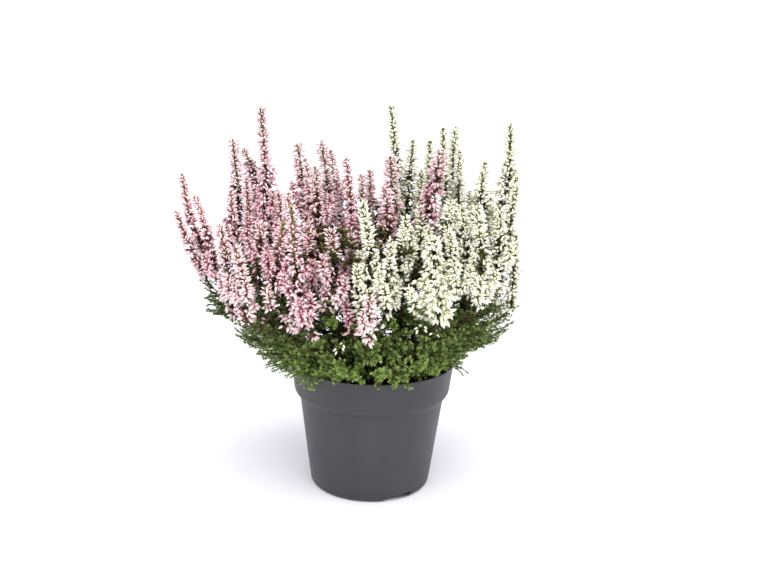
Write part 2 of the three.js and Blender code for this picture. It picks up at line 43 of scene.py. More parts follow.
# Flower stems: short name, CAD node, radius of the spike with its buds, points from crown to tip.
# The spike starts at the fifth point.
MAIN = (
    ('p01', 'pink_flower_stem_01', 6.7, ((-29.8, 6.2, 93.9), (-47.8, 5.2, 106.4), (-71.5, 0.4, 124.7), (-94.7, -3.6, 143.7), (-125.6, -8, 169.2), (-133.6, -4, 187.9), (-143.6, 1.3, 212.6), (-150.8, 8, 244.2))),
    ('p02', 'pink_flower_stem_02', 6.1, ((-29.5, 1.8, 94.3), (-46.3, -3.3, 106.7), (-68.7, -10.9, 123.8), (-91.2, -18.6, 140.7), (-121.2, -28.8, 163.2), (-129.7, -27, 176.6), (-139.3, -24.6, 195.3), (-149.5, -21.5, 219.6))),
    ('p03', 'pink_flower_stem_03', 6.5, ((-25.8, 0.4, 97.5), (-40.5, -6.6, 111.6), (-62.6, -16.3, 129), (-84.7, -26, 146.4), (-114.1, -38.9, 169.6), (-120, -32.7, 184.9), (-126.2, -24.5, 205.9), (-136.5, -14.2, 231.4))),
    ('p04', 'pink_flower_stem_04', 7.7, ((-27.7, -2.1, 94.5), (-40.3, -13, 105.6), (-57.4, -27.7, 120.1), (-75.2, -42.2, 133.9), (-98.9, -61.5, 152.4), (-102.9, -54.5, 167.4), (-108, -45.3, 187.6), (-114.6, -34, 212.8))),
    ('p05', 'pink_flower_stem_05', 7.5, ((-25.1, -5.4, 93.6), (-36, -19.1, 103.7), (-51.7, -36.4, 117.9), (-67.3, -53.6, 132), (-88.2, -76.5, 150.9), (-90.1, -70.4, 163.2), (-94, -62.3, 179.4), (-99.9, -52.3, 199.5))),
    ('p06', 'pink_flower_stem_06', 7.6, ((-27, 8.6, 96.2), (-41.2, 11, 111.4), (-60.8, 10.7, 132.8), (-80.5, 10.4, 154.2), (-106.7, 10, 182.7), (-108.8, 13, 204.7), (-109.2, 17, 234.3), (-113.3, 22, 270.9))),
    ('p09', 'pink_flower_stem_07', 9.8, ((-27.3, 4.4, 97), (-38.3, 4.2, 112.3), (-51.9, 3.6, 134.1), (-65.5, 2.9, 155.9), (-83.6, 2, 184.9), (-84.6, 4, 213.1), (-86.1, 6.6, 250.6), (-89.8, 10, 297.5))),
    ('p12', 'pink_flower_stem_08', 9.2, ((-21, -6.4, 94.5), (-25.3, -19.9, 103.9), (-32.4, -37.5, 116.7), (-39.5, -55, 129.5), (-49, -78.5, 146.6), (-53.2, -71.9, 167.7), (-57.2, -63.3, 196.1), (-60.1, -52.5, 231.8))),
    ('p13', 'pink_flower_stem_09', 7.6, ((-23.4, -3.1, 96.9), (-31.6, -13.9, 110.3), (-43.4, -28, 128), (-55.2, -42.1, 145.7), (-71, -61, 169.3), (-70.4, -57.1, 181.4), (-68.9, -52, 197.4), (-66.4, -45.6, 217.5))),
    ('p14', 'pink_flower_stem_10', 7.1, ((-23.8, 6, 98.9), (-29.4, 7, 116.8), (-36.1, 7.3, 141.7), (-42.7, 7.6, 166.6), (-51.5, 8, 199.7), (-54.4, 12, 216.9), (-58.2, 17.3, 239.9), (-63.2, 24, 268.5))),
    ('p15', 'pink_flower_stem_11', 7.7, ((-22.1, 1.6, 99.4), (-26.1, -1.2, 116.2), (-31.1, -4.4, 139.4), (-36, -7.7, 162.6), (-42.7, -12, 193.4), (-43.7, -9, 208.6), (-45.5, -5, 228.7), (-47.3, -0, 253.9))),
    ('p16', 'pink_flower_stem_12', 7.9, ((-19.7, 5.6, 99.9), (-21.8, 7, 115.1), (-25.5, 8.5, 135.9), (-29.3, 10, 156.6), (-34.3, 12, 184.2), (-36, 15.5, 206.1), (-38.8, 20.1, 235.3), (-44.6, 26, 271.4))),
    ('p18', 'pink_flower_stem_13', 7.3, ((-17.9, 1.7, 99.7), (-17.2, -0.5, 114.4), (-16.8, -2.7, 134.6), (-16.3, -5, 154.8), (-15.8, -8, 181.6), (-17.4, -4.5, 201.3), (-19.7, 0.1, 227.5), (-24.3, 6, 260.1))),
    ('p19', 'pink_flower_stem_14', 4.8, ((-16.5, 8.4, 99), (-15.1, 12.3, 117), (-14.6, 15.8, 142.3), (-14.2, 19.3, 167.5), (-13.6, 24, 201.2), (-13.3, 26.5, 211.9), (-12.1, 29.8, 226.2), (-12.6, 34, 244.1))),
    ('p21', 'pink_flower_stem_15', 7.8, ((-14.7, 4.5, 99.3), (-10, 4.7, 116.7), (-4.6, 4.8, 140.8), (0.8, 4.8, 165), (8, 4.9, 197.1), (9.4, 7.5, 213.2), (11.5, 11, 234.7), (9.8, 15.3, 261.4))),
    ('p22', 'pink_flower_stem_16', 6.9, ((-11.7, 2, 97.6), (-1.3, -1.2, 116.4), (11, -5.1, 143.1), (23.2, -8.9, 169.7), (39.6, -14, 205.3), (38, -11, 221.2), (43.6, -7, 242.2), (47.3, -2, 268.8))),
    ('p23', 'pink_flower_stem_17', 8.0, ((-19.2, -3.8, 97.4), (-21.2, -14.2, 108.7), (-25, -28.6, 123.5), (-28.7, -42.9, 138.3), (-33.6, -62, 158), (-30, -56.4, 171.5), (-29.9, -49.1, 190.1), (-33.4, -40, 213.1))),
    ('p26', 'pink_flower_stem_18', 6.7, ((-15.5, -6.8, 93.4), (-12.6, -21.2, 101.8), (-9.9, -40.4, 113.8), (-7.1, -59.7, 125.8), (-3.5, -85.3, 141.9), (-3.1, -83.6, 149.5), (-3.3, -81.4, 159.8), (-3.3, -78.6, 172.5))),
    ('p28', 'pink_flower_stem_19', 6.7, ((-14.8, -0.9, 98.3), (-10.1, -6.4, 115.6), (-5, -12.3, 140.2), (0.2, -18.2, 164.7), (7.1, -26, 197.4), (8.6, -23.5, 208.6), (8.3, -20.2, 223.4), (5.1, -16, 241.8))),
    ('w01', 'white_flower_stem_01', 8.5, ((19, -5.9, 94.4), (14, -18.2, 104.8), (7.7, -33.7, 119.8), (1.5, -49.1, 134.8), (-6.9, -69.7, 154.8), (-3.8, -63.7, 174.9), (-4.2, -55.8, 201.9), (-10.8, -46, 235))),
    ('w02', 'white_flower_stem_02', 5.2, ((20.8, 9.2, 98.7), (19.4, 14.5, 121.5), (19.1, 18.7, 153.7), (18.8, 22.9, 185.9), (18.5, 28.5, 228.8), (16.6, 29.9, 246.5), (13.1, 31.7, 269.9), (9.3, 34, 299.2))),
    ('w03', 'white_flower_stem_03', 6.7, ((22.1, 5.3, 99.9), (21.9, 6.9, 118.6), (22.3, 9.1, 144.2), (22.8, 11.2, 169.8), (23.4, 14.1, 203.9), (24, 16.8, 221.4), (25.3, 20.5, 244.8), (27.6, 25, 273.9))),
    ('w05', 'white_flower_stem_04', 5.1, ((26.2, 4.1, 99.6), (31.6, 5.1, 121.7), (38.4, 7.2, 152), (45.3, 9.2, 182.2), (54.3, 12, 222.5), (53.5, 14.5, 237.7), (51.4, 17.8, 257.8), (50.2, 22, 282.9))),
    ('w06', 'white_flower_stem_05', 6.0, ((28.4, 7.6, 98.3), (35.1, 11.2, 117.6), (42.7, 14.4, 144.8), (50.3, 17.7, 172.1), (60.5, 22, 208.4), (61.3, 25, 227.4), (59.5, 29, 252.6), (61, 34, 284.1))),
    ('w08', 'white_flower_stem_06', 7.8, ((30, 2.9, 97.9), (40, 1.5, 114.7), (52.8, 0.4, 138.1), (65.5, -0.8, 161.5), (82.6, -2.2, 192.6), (82.1, 1.5, 209.2), (80.9, 6.4, 231.3), (83, 12.6, 258.8))),
    ('w09', 'white_flower_stem_07', 7.8, ((33.1, 3.8, 95.1), (47, 2.4, 112.7), (62.5, 0.1, 139.4), (78, -2.3, 166), (98.7, -5.6, 201.5), (97.3, -1.7, 223.4), (100.6, 3.4, 252.5), (100.8, 9.9, 289.1))),
    ('w11', 'white_flower_stem_08', 13.5, ((25.1, -6.2, 94.7), (28.7, -19.9, 105.5), (33.6, -37.3, 120.7), (38.6, -54.8, 136), (45.2, -78, 156.3), (42, -70.9, 169.4), (41.9, -61.5, 187.5), (41.8, -50, 210.3))),
    ('w12', 'white_flower_stem_09', 7.7, ((22.1, -3.9, 97.3), (21, -13.1, 110.8), (19.8, -24.1, 129.8), (18.5, -35.2, 148.8), (16.8, -50, 174.2), (17.2, -44.4, 186.1), (19.5, -37.1, 201.8), (21.9, -28, 221.5))),
    ('w14', 'white_flower_stem_10', 8.1, ((26.9, -2.2, 97.8), (33.8, -9.7, 112.7), (43.9, -18.3, 133), (54, -26.9, 153.3), (67.4, -38.3, 180.4), (67.8, -34.8, 193), (66.5, -30, 209.7), (62.5, -24.2, 230.3))),
    ('w15', 'white_flower_stem_11', 8.0, ((29.1, -4.6, 94.6), (37.5, -15.9, 106.2), (48.6, -30, 123.4), (59.7, -44.1, 140.5), (74.5, -63, 163.3), (76.6, -55.4, 180.6), (76.4, -45.4, 203.7), (73.3, -33.1, 232.6))),
    ('w16', 'white_flower_stem_12', 8.2, ((30.7, -1, 96.2), (41.8, -9.1, 109.7), (56.3, -19.9, 128.6), (70.7, -30.7, 147.5), (89.9, -45.1, 172.7), (90.3, -40.3, 187.2), (91.2, -33.9, 206.4), (91.2, -25.9, 230.6))),
    ('w17', 'white_flower_stem_13', 6.4, ((33.1, -1.8, 92.7), (46.1, -9.3, 102.9), (62.4, -18.4, 118.7), (78.8, -27.4, 134.5), (100.5, -39.6, 155.6), (102.7, -36.6, 168.8), (103.2, -32.6, 186.5), (104.2, -27.7, 208.7))),
    ('p51', 'pink_flower_stem_20', 7.0, ((-29.7, 10.2, 91), (-41.3, 17.2, 97.7), (-56.5, 26.5, 107.9), (-71.7, 35.7, 115.6), (-92, 48, 126), (-99.6, 47.9, 143.1), (-108.5, 47.6, 166.4), (-118, 46, 196))),
    ('p52', 'pink_flower_stem_21', 8.0, ((-26.8, 12.1, 93.5), (-35.2, 21.1, 101.4), (-46.3, 32.8, 113), (-57.3, 44.4, 124.6), (-72, 60, 140), (-76.4, 61.3, 160.3), (-81.3, 61.9, 187.6), (-86, 62, 222))),
    ('p53', 'pink_flower_stem_22', 8.0, ((-24.8, 14.9, 90.9), (-30.7, 28.3, 96.5), (-37.9, 46.2, 105.5), (-44.8, 64.1, 112.5), (-54, 88, 122), (-56.2, 87.8, 140.5), (-58.3, 87, 165.2), (-60, 84, 196))),
    ('p54', 'pink_flower_stem_23', 8.0, ((-23, 11.9, 96.6), (-26.6, 19.2, 106.9), (-31.2, 28.4, 121.6), (-35.8, 37.7, 136.4), (-42, 50, 156), (-43, 51.1, 176), (-43.7, 51.8, 202.6), (-44, 52, 236))),
    ('p55', 'pink_flower_stem_24', 8.0, ((-18.8, 16.4, 90.9), (-18.6, 30.4, 95.7), (-18.4, 48.9, 103.1), (-18.3, 67.4, 109.7), (-18, 92, 118), (-18.2, 93, 136), (-18.3, 93.3, 160), (-18, 92, 190))),
    ('p56', 'pink_flower_stem_25', 8.0, ((-17.2, 13.8, 95.3), (-15.5, 23.4, 104.7), (-13.2, 35.6, 118.3), (-11, 47.8, 131.9), (-8, 64, 150), (-7.6, 64, 170.5), (-6.9, 63.9, 197.9), (-6, 62, 232))),
    ('w51', 'white_flower_stem_14', 8.0, ((21.8, 12.9, 96.4), (20.7, 21.6, 107.1), (19.3, 32.5, 122.4), (17.9, 43.4, 137.7), (16, 58, 158), (17.2, 58, 177.5), (18.6, 57.7, 203.5), (20, 56, 236))),
    ('w52', 'white_flower_stem_15', 8.0, ((22.2, 16.4, 90.9), (22.2, 30.5, 96.2), (22.7, 48.9, 104.5), (23.3, 67.4, 112.9), (24, 92, 124), (24.8, 93, 142.5), (25.5, 93.3, 167.2), (26, 92, 198))),
    ('w53', 'white_flower_stem_16', 8.0, ((28, 12.4, 95.6), (32.7, 21.5, 105.1), (38.5, 33.7, 118.6), (44.3, 45.8, 132), (52, 62, 150), (54.1, 62.7, 170), (56.3, 62.9, 196.6), (58, 62, 230))),
    ('w54', 'white_flower_stem_17', 8.0, ((27.9, 15.4, 90.9), (33.9, 28.7, 97.4), (41.9, 46.5, 106.2), (49.6, 64.3, 110.4), (60, 88, 116), (62.2, 89.6, 133.4), (64.4, 90.3, 156.7), (66, 90, 186))),
    ('w55', 'white_flower_stem_18', 8.0, ((31.8, 10.3, 94.2), (40.9, 18.2, 101.4), (52.6, 29.6, 111.2), (64.4, 40.9, 121), (80, 56, 134), (84.5, 56.6, 151.8), (89.4, 56.8, 175.8), (94, 56, 206))),
    ('w56', 'white_flower_stem_19', 7.0, ((31.5, 13, 90.9), (40.6, 23.9, 97.4), (52.4, 39, 106.2), (64.2, 54, 110.4), (80, 74, 116), (85.4, 76.8, 128.1), (91.6, 79.7, 144.6), (98, 82, 166))),
)
# Leafy shoots: short name, CAD node, points from crown to tip.
SHOOTS = (
    ('g01', 'green_shoot_01', ((-31.4, 3.6, 90.9), (-44.9, 2.5, 105.9), (-57.9, 4.1, 120.5), (-73, 5.8, 132), (-90.8, 4.2, 138.9), (-109, -1.8, 144), (-127.5, -8, 148.4))),
    ('g02', 'green_shoot_02', ((-30.5, -0.6, 90.9), (-43.4, -4.6, 99.3), (-56, -8.4, 107.5), (-68, -12.5, 112.2), (-79.3, -17.1, 116.6), (-90.6, -21.6, 120.9), (-101.7, -26, 125.3))),
    ('g03', 'green_shoot_03', ((-28.2, -4.3, 90.9), (-39.1, -10.8, 98.9), (-50.3, -16.8, 106.7), (-59.1, -23.7, 110.9), (-66.4, -31.1, 113.3), (-73.7, -38.6, 115.5), (-80.9, -46, 117.8))),
    ('g04', 'green_shoot_04', ((-22.8, -7.8, 90.9), (-28.3, -17.5, 96.9), (-33.7, -26.9, 102.5), (-39.1, -36.3, 108), (-44.6, -45.6, 109.8), (-50, -54.8, 110.1), (-55.4, -64, 110.5))),
    ('g05', 'green_shoot_05', ((-18.6, -8.4, 90.9), (-18.9, -20, 96.4), (-19.3, -31.3, 101.1), (-19.7, -42.6, 105.8), (-20.1, -53.8, 109.6), (-20.4, -64.9, 111.1), (-20.8, -76, 112.5))),
    ('g06', 'green_shoot_06', ((21, -8.1, 91.3), (18.8, -20.1, 96.8), (16.7, -31.8, 101.3), (14.6, -43.5, 105.5), (12.5, -55, 109.2), (10.5, -66.5, 112.4), (8.4, -78, 115.5))),
    ('g07', 'green_shoot_07', ((25.2, -8.2, 90.9), (27.1, -18.6, 96.7), (29, -28.7, 101.9), (30.9, -38.7, 107), (32.9, -48.6, 111.4), (35.1, -58.3, 115.2), (37.2, -68, 118.9))),
    ('g08', 'green_shoot_08', ((31.3, -5.2, 90.9), (37.6, -10.6, 96.9), (43.7, -15.7, 102.9), (49.8, -20.8, 108.2), (55.9, -25.9, 110), (61.9, -31, 111.1), (67.9, -36, 112.2))),
    ('g09', 'green_shoot_09', ((35.2, 1.5, 90.9), (45.4, -1.1, 99.2), (55.3, -3.7, 107.5), (65.2, -6.3, 112.1), (75, -8.9, 116), (84.7, -11.5, 119.9), (94.4, -14, 123.7))),
    ('g10', 'green_shoot_10', ((35, 5.8, 91.6), (48.3, 5.9, 101.1), (61, 5.9, 109.7), (73.5, 5.9, 117.8), (85.8, 6, 125.7), (98.1, 6, 133.6), (110.2, 6, 141.4))),
    ('g11', 'green_shoot_11', ((-21.6, 14.8, 93.7), (-25.2, 24.9, 99.8), (-28.4, 34.8, 105.2), (-31.7, 44.6, 110.2), (-35.9, 54.4, 113.8), (-40.4, 64.2, 116.5), (-44.8, 74, 119.1))),
    ('g12', 'green_shoot_12', ((24.9, 14.8, 93.9), (28.1, 25, 100.1), (30.9, 35, 105.7), (34.4, 44.9, 110.2), (39.1, 54.6, 113.1), (43.6, 64.3, 115.6), (48, 74, 118))),
)
# Spikes on side branches, with no CAD node of their own: short name, radius, points from the low end to the tip.
SIDE = (
    ('p07', 4.9, ((-94.8, 34, 203.8), (-95.8, 36.3, 221.4), (-97.8, 38.3, 236.4), (-101.8, 39.9, 247.4), (-107.9, 42, 262.2))),
    ('p08', 7.0, ((-103.9, -12, 180.1), (-108, -7.3, 200.8), (-110.7, -3, 220.1), (-111.6, 0, 233.9))),
    ('p10', 7.0, ((-69.9, -10, 172.7), (-71.7, -7.6, 187.1), (-72.9, -3.6, 211.3), (-74.9, 0, 233))),
    ('p11', 6.8, ((-66.8, -26, 193.2), (-65.9, -19.9, 214.1), (-66.4, -14, 234.3))),
    ('p17', 5.7, ((-29.8, 36, 205.3), (-32.9, 38.9, 226), (-36, 41.4, 244.3), (-38.3, 44, 262.4))),
    ('p20', 4.5, ((-4.3, 38, 211.4), (-5.2, 41.9, 228.8), (-6.2, 46, 246.7))),
    ('p24', 6.7, ((-19.5, -40, 165.5), (-16.8, -36.4, 174.7), (-17.3, -29.8, 192.2), (-19.3, -24, 207.7))),
    ('p25', 4.3, ((-15.2, -66, 141.7), (-17, -62.8, 150.4), (-20.1, -59.8, 158.5), (-23.3, -56, 168.6))),
    ('p27', 3.9, ((-72.6, -72, 159.6), (-74.3, -69.2, 166.1), (-76.8, -66, 173.2))),
    ('p29', 7.4, ((-85.3, -44, 182.8), (-84.7, -37, 198.5), (-84.1, -30, 214.5))),
    ('p30', 6.6, ((-44.2, -46, 166.3), (-46.9, -40.9, 181.7), (-48.9, -35.2, 199.2), (-50.2, -30, 215.4))),
    ('w04', 4.9, ((39.1, 32, 217.6), (40.2, 34.3, 233.4), (41.5, 37.4, 254), (41.2, 40, 271.6))),
    ('w07', 5.5, ((65, 6, 218.2), (63.7, 8.5, 232.7), (63.3, 11.4, 249.8), (63.7, 14, 265.3))),
    ('w10', 6.1, ((101.4, -24, 195.1), (100.8, -19, 223.1), (103.6, -15.9, 240), (104, -14, 250.3))),
    ('w13', 7.2, ((32.3, -26, 182.1), (33.5, -21.3, 195), (34, -15.7, 210.8), (32.9, -10, 226.7))),
    ('w18', 7.2, ((57.1, -62, 169.3), (57.6, -56.5, 184.2), (55.1, -50.2, 201.2), (51.2, -44, 217.5))),
    ('w19', 7.1, ((9.4, -72, 158.1), (8.6, -66.8, 174.3), (9.9, -60.8, 193.3), (11.6, -56, 208.4))),
    ('w20', 4.2, ((29.1, -84, 165.4), (26.3, -80.2, 171.5), (23.4, -76, 178.3))),
    ('w21', 6.7, ((50.7, -30, 201.7), (52.6, -25, 217.4), (54.5, -20, 233.2))),
    ('p31', 4.6, ((-96.6, 6, 192.5), (-99.2, 4, 221.8), (-100.4, 4, 243.5))),
    ('p32', 4.6, ((-50.2, 2, 215.6), (-52.4, 4, 238.5), (-54.2, 6, 254.4))),
    ('w33', 5.2, ((32.6, 14, 212), (33.8, 16, 232), (34.2, 18, 251))),
    ('w34', 5.6, ((72.5, 14, 207), (76, 14, 222.5), (78.8, 14, 237.5))),
    ('w35', 5.2, ((89.4, 14, 205), (88.6, 14, 218), (88.4, 14, 230))),
    ('p57', 7.0, ((-78, 80, 114), (-89.3, 83.2, 137), (-98, 84, 160))),
    ('w57', 7.0, ((95, 24, 140), (102, 24.4, 177), (106, 24, 214))),
)

# What sets single spikes apart: how full, how green, how deep the pink, how broad low down.
LOOK = {
    "p12": dict(full=1.15, low=1.1, green_tip=1.0, axis=1.0, open=0.62, tip=1.6),
    "p13": dict(full=1.1, green_tip=1.0, axis=1.0, open=0.75, tip=1.4),
    "p09": dict(full=1.35, tone=0.45, turn=0.56, top=6.8),
    "p06": dict(tone=0.45, top=7.2),
    "p16": dict(top=7.2),
    "p07": dict(tone=0.55, full=1.3, wide=1.8, turn=0.8, top=5.4),
    "p01": dict(tone=0.4, sides=1, low=0.88),
    "p02": dict(tone=0.5, sides=0, low=0.6, first=0.16),
    "p03": dict(tone=0.45, sides=1, low=0.74, first=0.12),
    "p04": dict(full=1.15, tone=0.8),
    "p05": dict(full=1.25, tone=1.0),
    "p14": dict(top=7.6, wide=1.2, turn=0.62),
    "p15": dict(top=7.2),
    "p17": dict(wide=1.2, top=6.8),
    "p31": dict(sides=0, full=1.15, top=5.0, tone=0.45),
    "p32": dict(sides=0, full=1.15, top=5.0, tone=0.4),
    "w33": dict(sides=0, green=0.15, wide=0.9),
    "w34": dict(sides=0, low=1.0),
    "w35": dict(sides=0, wide=1.1, low=1.1),
    "p25": dict(tone=0.0, full=1.2),
    "p24": dict(tone=0.3),
    "p26": dict(tone=1.0, full=1.7, wide=1.15, low=0.82, sides=2, cream=0.45),
    "p22": dict(tone=0.35, full=1.35, sides=0, wide=1.45, turn=0.75, top=8.0),
    "p28": dict(tone=0.4, sides=0, wide=1.25, full=1.15),
    "p21": dict(tone=0.4, sides=0, wide=1.3, full=1.25, top=7.8),
    "p23": dict(tone=0.65, full=1.1),
    "p27": dict(tone=0.95),
    "w01": dict(full=1.2, green_tip=1.0),
    "w11": dict(full=2.7, green_tip=1.0, low=0.98, sides=0, turn=0.88, bud=1.1, droop=1.4),
    "w02": dict(full=1.0, green=0.25, wide=1.15, top=6.4),
    "w03": dict(green=0.15, top=6.6, wide=1.2),
    "w05": dict(green=0.2, top=6.2),
    "w06": dict(green=0.2, top=6.4, sides=1),
    "w07": dict(sides=0),
    "w08": dict(top=6.6, low=1.2, wide=1.12),
    "w09": dict(full=1.05, green=0.2, sides=0, top=6.9, wide=1.3, low=1.15),
    "w10": dict(green=0.2, sides=0, low=0.66, wide=0.9),
    "w16": dict(sides=2),
    "w17": dict(sides=0, low=0.95),
    "w57": dict(sides=0, low=0.7),
    "w18": dict(full=1.2),
    "w14": dict(full=1.1),
    "w15": dict(full=1.1),
}


# ---- small tools ----------------------------------------------------------------------------------------
def unit(v):
    return v / np.maximum(np.linalg.norm(v, axis=-1, keepdims=True), 1e-9)


def resampled(P, step):
    """The polyline P with even steps of about `step`."""
    d = np.linalg.norm(np.diff(P, axis=0), axis=1)
    s = np.concatenate([[0.0], np.cumsum(d)])
    n = max(2, int(round(s[-1] / step)) + 1)
    t = np.linspace(0.0, s[-1], n)
    return np.stack([np.interp(t, s, P[:, k]) for k in range(3)], 1)


def spline(points, step):
    """A centripetal Catmull-Rom curve through the points, as the CAD stems follow, in even steps."""
    P = np.asarray(points, float)
    Q = np.vstack([2 * P[0] - P[1], P, 2 * P[-1] - P[-2]])
    t = np.linspace(0, 1, 24, endpoint=False)[:, None]
    out = []
    for p0, p1, p2, p3 in zip(Q, Q[1:], Q[2:], Q[3:]):
        a, b, c = (max(np.linalg.norm(u - v), 1e-6) ** 0.5 for u, v in ((p0, p1), (p1, p2), (p2, p3)))
        m1 = ((p1 - p0) / a - (p2 - p0) / (a + b) + (p2 - p1) / b) * b
        m2 = ((p2 - p1) / b - (p3 - p1) / (b + c) + (p3 - p2) / c) * b
        out.append(
            (2 * t**3 - 3 * t**2 + 1) * p1
            + (t**3 - 2 * t**2 + t) * m1
            + (3 * t**2 - 2 * t**3) * p2
            + (t**3 - t**2) * m2
        )
    out.append(P[-1:])
    return resampled(np.vstack(out), step)


def bezier(a, b, c, d, step):
    t = np.linspace(0, 1, 25)[:, None]
    P = (1 - t) ** 3 * a + 3 * t * (1 - t) ** 2 * b + 3 * t**2 * (1 - t) * c + t**3 * d
    return resampled(P, step)


def frames(P):
    """Tangents and two normals that don't twist, at each point of a path."""
    T = unit(np.gradient(P, axis=0))
    N = np.zeros_like(P)
    n = np.cross(T[0], (0.0, 0.0, 1.0))
    if np.linalg.norm(n) < 0.1:
        n = np.cross(T[0], (1.0, 0.0, 0.0))
    for i, t in enumerate(T):
        n = n - t * (n @ t)
        n = n / max(np.linalg.norm(n), 1e-9)
        N[i] = n
    return T, N, np.cross(T, N)


def length_of(P):
    return float(np.linalg.norm(np.diff(P, axis=0), axis=1).sum())


def at_lengths(P, s):
    """Points, tangents and normals at the lengths s along a path."""
    d = np.concatenate([[0.0], np.cumsum(np.linalg.norm(np.diff(P, axis=0), axis=1))])
    T, N, B = frames(P)
    pick = lambda A: np.stack([np.interp(s, d, A[:, k]) for k in range(3)], 1)
    return pick(P), unit(pick(T)), unit(pick(N)), unit(pick(B))


def hashed(*v):
    """A steady number from 0 to 1 for a name."""
    h = 2166136261
    for ch in "/".join(map(str, v)):
        h = ((h ^ ord(ch)) * 16777619) & 0xFFFFFFFF
    return h / 0xFFFFFFFF


class Cluster:
    """Gathers many small closed solids that become one mesh, each with a row of the colour chart."""

    def __init__(self):
        self.v, self.f, self.u, self.w, self.row, self.n = [], [], [], [], [], 0

    def add(self, v, f, along, around, row):
        self.v.append(v)
        self.f.append(f + self.n)
        self.u.append(along)
        self.w.append(around)
        self.row.append(row)
        self.n += len(v)

    def stamp(self, shape, at, along, side, length, width, depth, row):
        """Copies of a shape: its z runs along `along`, its x along `side`."""
        third = np.cross(along, side)
        v = (
            at[:, None]
            + shape["v"][None, :, 2:3] * (along * length[:, None])[:, None]
            + shape["v"][None, :, 0:1] * (side * width[:, None])[:, None]
            + shape["v"][None, :, 1:2] * (third * depth[:, None])[:, None]
        )
        k, m = len(shape["v"]), len(at)
        f = shape["f"][None] + (np.arange(m) * k)[:, None, None]
        self.add(
            v.reshape(-1, 3),
            f.reshape(-1, 3),
            np.tile(shape["along"], m),
            np.tile(shape["around"], m),
            np.repeat(row, k),
        )

    def tube(self, P, radii, sides, row, u0=0.0, u1=1.0):
        """A closed tube along a path; row is one number or one for each ring."""
        T, N, B = frames(P)
        n = len(P)
        a = np.arange(sides) * 2 * math.pi / sides
        ring = np.cos(a)[None, :, None] * N[:, None] + np.sin(a)[None, :, None] * B[:, None]
        v = P[:, None] + ring * np.broadcast_to(radii, (n,))[:, None, None]
        v = np.vstack([v.reshape(-1, 3), P[0] - T[0] * radii_at(radii, 0) * 0.3, P[-1] + T[-1] * radii_at(radii, -1) * 0.6])
        i, k = np.meshgrid(np.arange(n - 1), np.arange(sides), indexing="ij")
        p, q = i * sides + k, i * sides + (k + 1) % sides
        f = np.concatenate(
            [
                np.stack([p, q, q + sides], -1).reshape(-1, 3),
                np.stack([p, q + sides, p + sides], -1).reshape(-1, 3),
            ]
        )
        ks = np.arange(sides)
        low = np.stack([np.full(sides, n * sides), (ks + 1) % sides, ks], 1)
        last = (n - 1) * sides
        high = np.stack([np.full(sides, n * sides + 1), last + ks, last + (ks + 1) % sides], 1)
        s = np.linspace(u0, u1, n)
        self.add(
            v,
            np.concatenate([f, low, high]),
            np.concatenate([np.repeat(s, sides), [max(u0 - 0.02, 0.0), min(u1 + 0.02, 1.0)]]),
            np.concatenate([np.tile(ks / sides, n), [0.5, 0.5]]),
            np.full(n * sides + 2, row),
        )

    def triangles(self):
        return sum(len(f) for f in self.f)

    def piece(self, name, material, smooth=True):
        """Makes the mesh."""
        v = np.concatenate(self.v)
        f = np.concatenate(self.f)
        u, w, row = (np.concatenate(x).astype(float) for x in (self.u, self.w, self.row))
        me = bpy.data.meshes.new(name)
        me.vertices.add(len(v))
        me.vertices.foreach_set("co", (v * MM).astype(np.float32).ravel())
        me.loops.add(3 * len(f))
        me.loops.foreach_set("vertex_index", f.astype(np.int32).ravel())
        me.polygons.add(len(f))
        me.polygons.foreach_set("loop_start", np.arange(0, 3 * len(f), 3, dtype=np.int32))
        me.polygons.foreach_set("use_smooth", np.full(len(f), smooth))
        me.update(calc_edges=True)
        for key, value in (
            ("along", u),
            ("around", w),
            ("tone", (row // 4) / (ROWS / 4 - 1)),
            ("shade", (row % 4) / 3),
        ):
            a = me.attributes.new(key, "FLOAT", "POINT")
            a.data.foreach_set("value", value.astype(np.float32))
        uv = np.stack([0.03 + 0.94 * u, (row + 0.2 + 0.6 * w) / ROWS], 1)
        layer = me.uv_layers.new(name="OFBake")
        layer.data.foreach_set("uv", uv[f].astype(np.float32).ravel())
        me.materials.append(material)
        return link(name, me)


def radii_at(r, i):
    return float(np.atleast_1d(r)[i if np.ndim(r) else 0])


def link(name, me):
    ob = bpy.data.objects.new(name, me)
    bpy.context.scene.collection.objects.link(ob)
    return ob


def row_of(tone, shade):
    """The chart's row for a tone and a shade from 0 to 1."""
    t = np.clip(np.round(np.asarray(tone) * 7), 0, 7)
    s = np.clip(np.round(np.asarray(shade) * 3), 0, 3)
    return (t * 4 + s).astype(int)


# ---- small shapes ---------------------------------------------------------------------------------------
def bud_shape(sides, rings, turn=0.0):
    """A pointed closed bud along z from 0 to 1, with rings of (z, radius)."""
    v, along, around, f = [(0.0, 0.0, 0.0)], [0.0], [0.5], []
    for j, (z, r) in enumerate(rings):
        for k in range(sides):
            a = 2 * math.pi * (k + turn * j) / sides
            v.append((r * math.cos(a), r * math.sin(a), z))
            along.append(z)
            around.append(k / sides)
    v.append((0.0, 0.0, 1.0))
    along.append(1.0)
    around.append(0.5)
    for k in range(sides):
        m = (k + 1) % sides
        f.append((0, 1 + m, 1 + k))
        for j in range(len(rings) - 1):
            a, b = 1 + j * sides + k, 1 + j * sides + m
            f += [(a, b, b + sides), (a, b + sides, a + sides)]
        last = 1 + (len(rings) - 1) * sides
        f.append((len(v) - 1, last + k, last + m))
    return dict(v=np.array(v), f=np.array(f), along=np.array(along), around=np.array(around))


# A closed bud, fullest below its middle and pointed: with four sides at the front, with three further back.
BUD_FINE = bud_shape(4, [(0.24, 0.98), (0.62, 0.86)])
BUD_PLAIN = bud_shape(3, [(0.27, 1.08), (0.66, 0.94)])
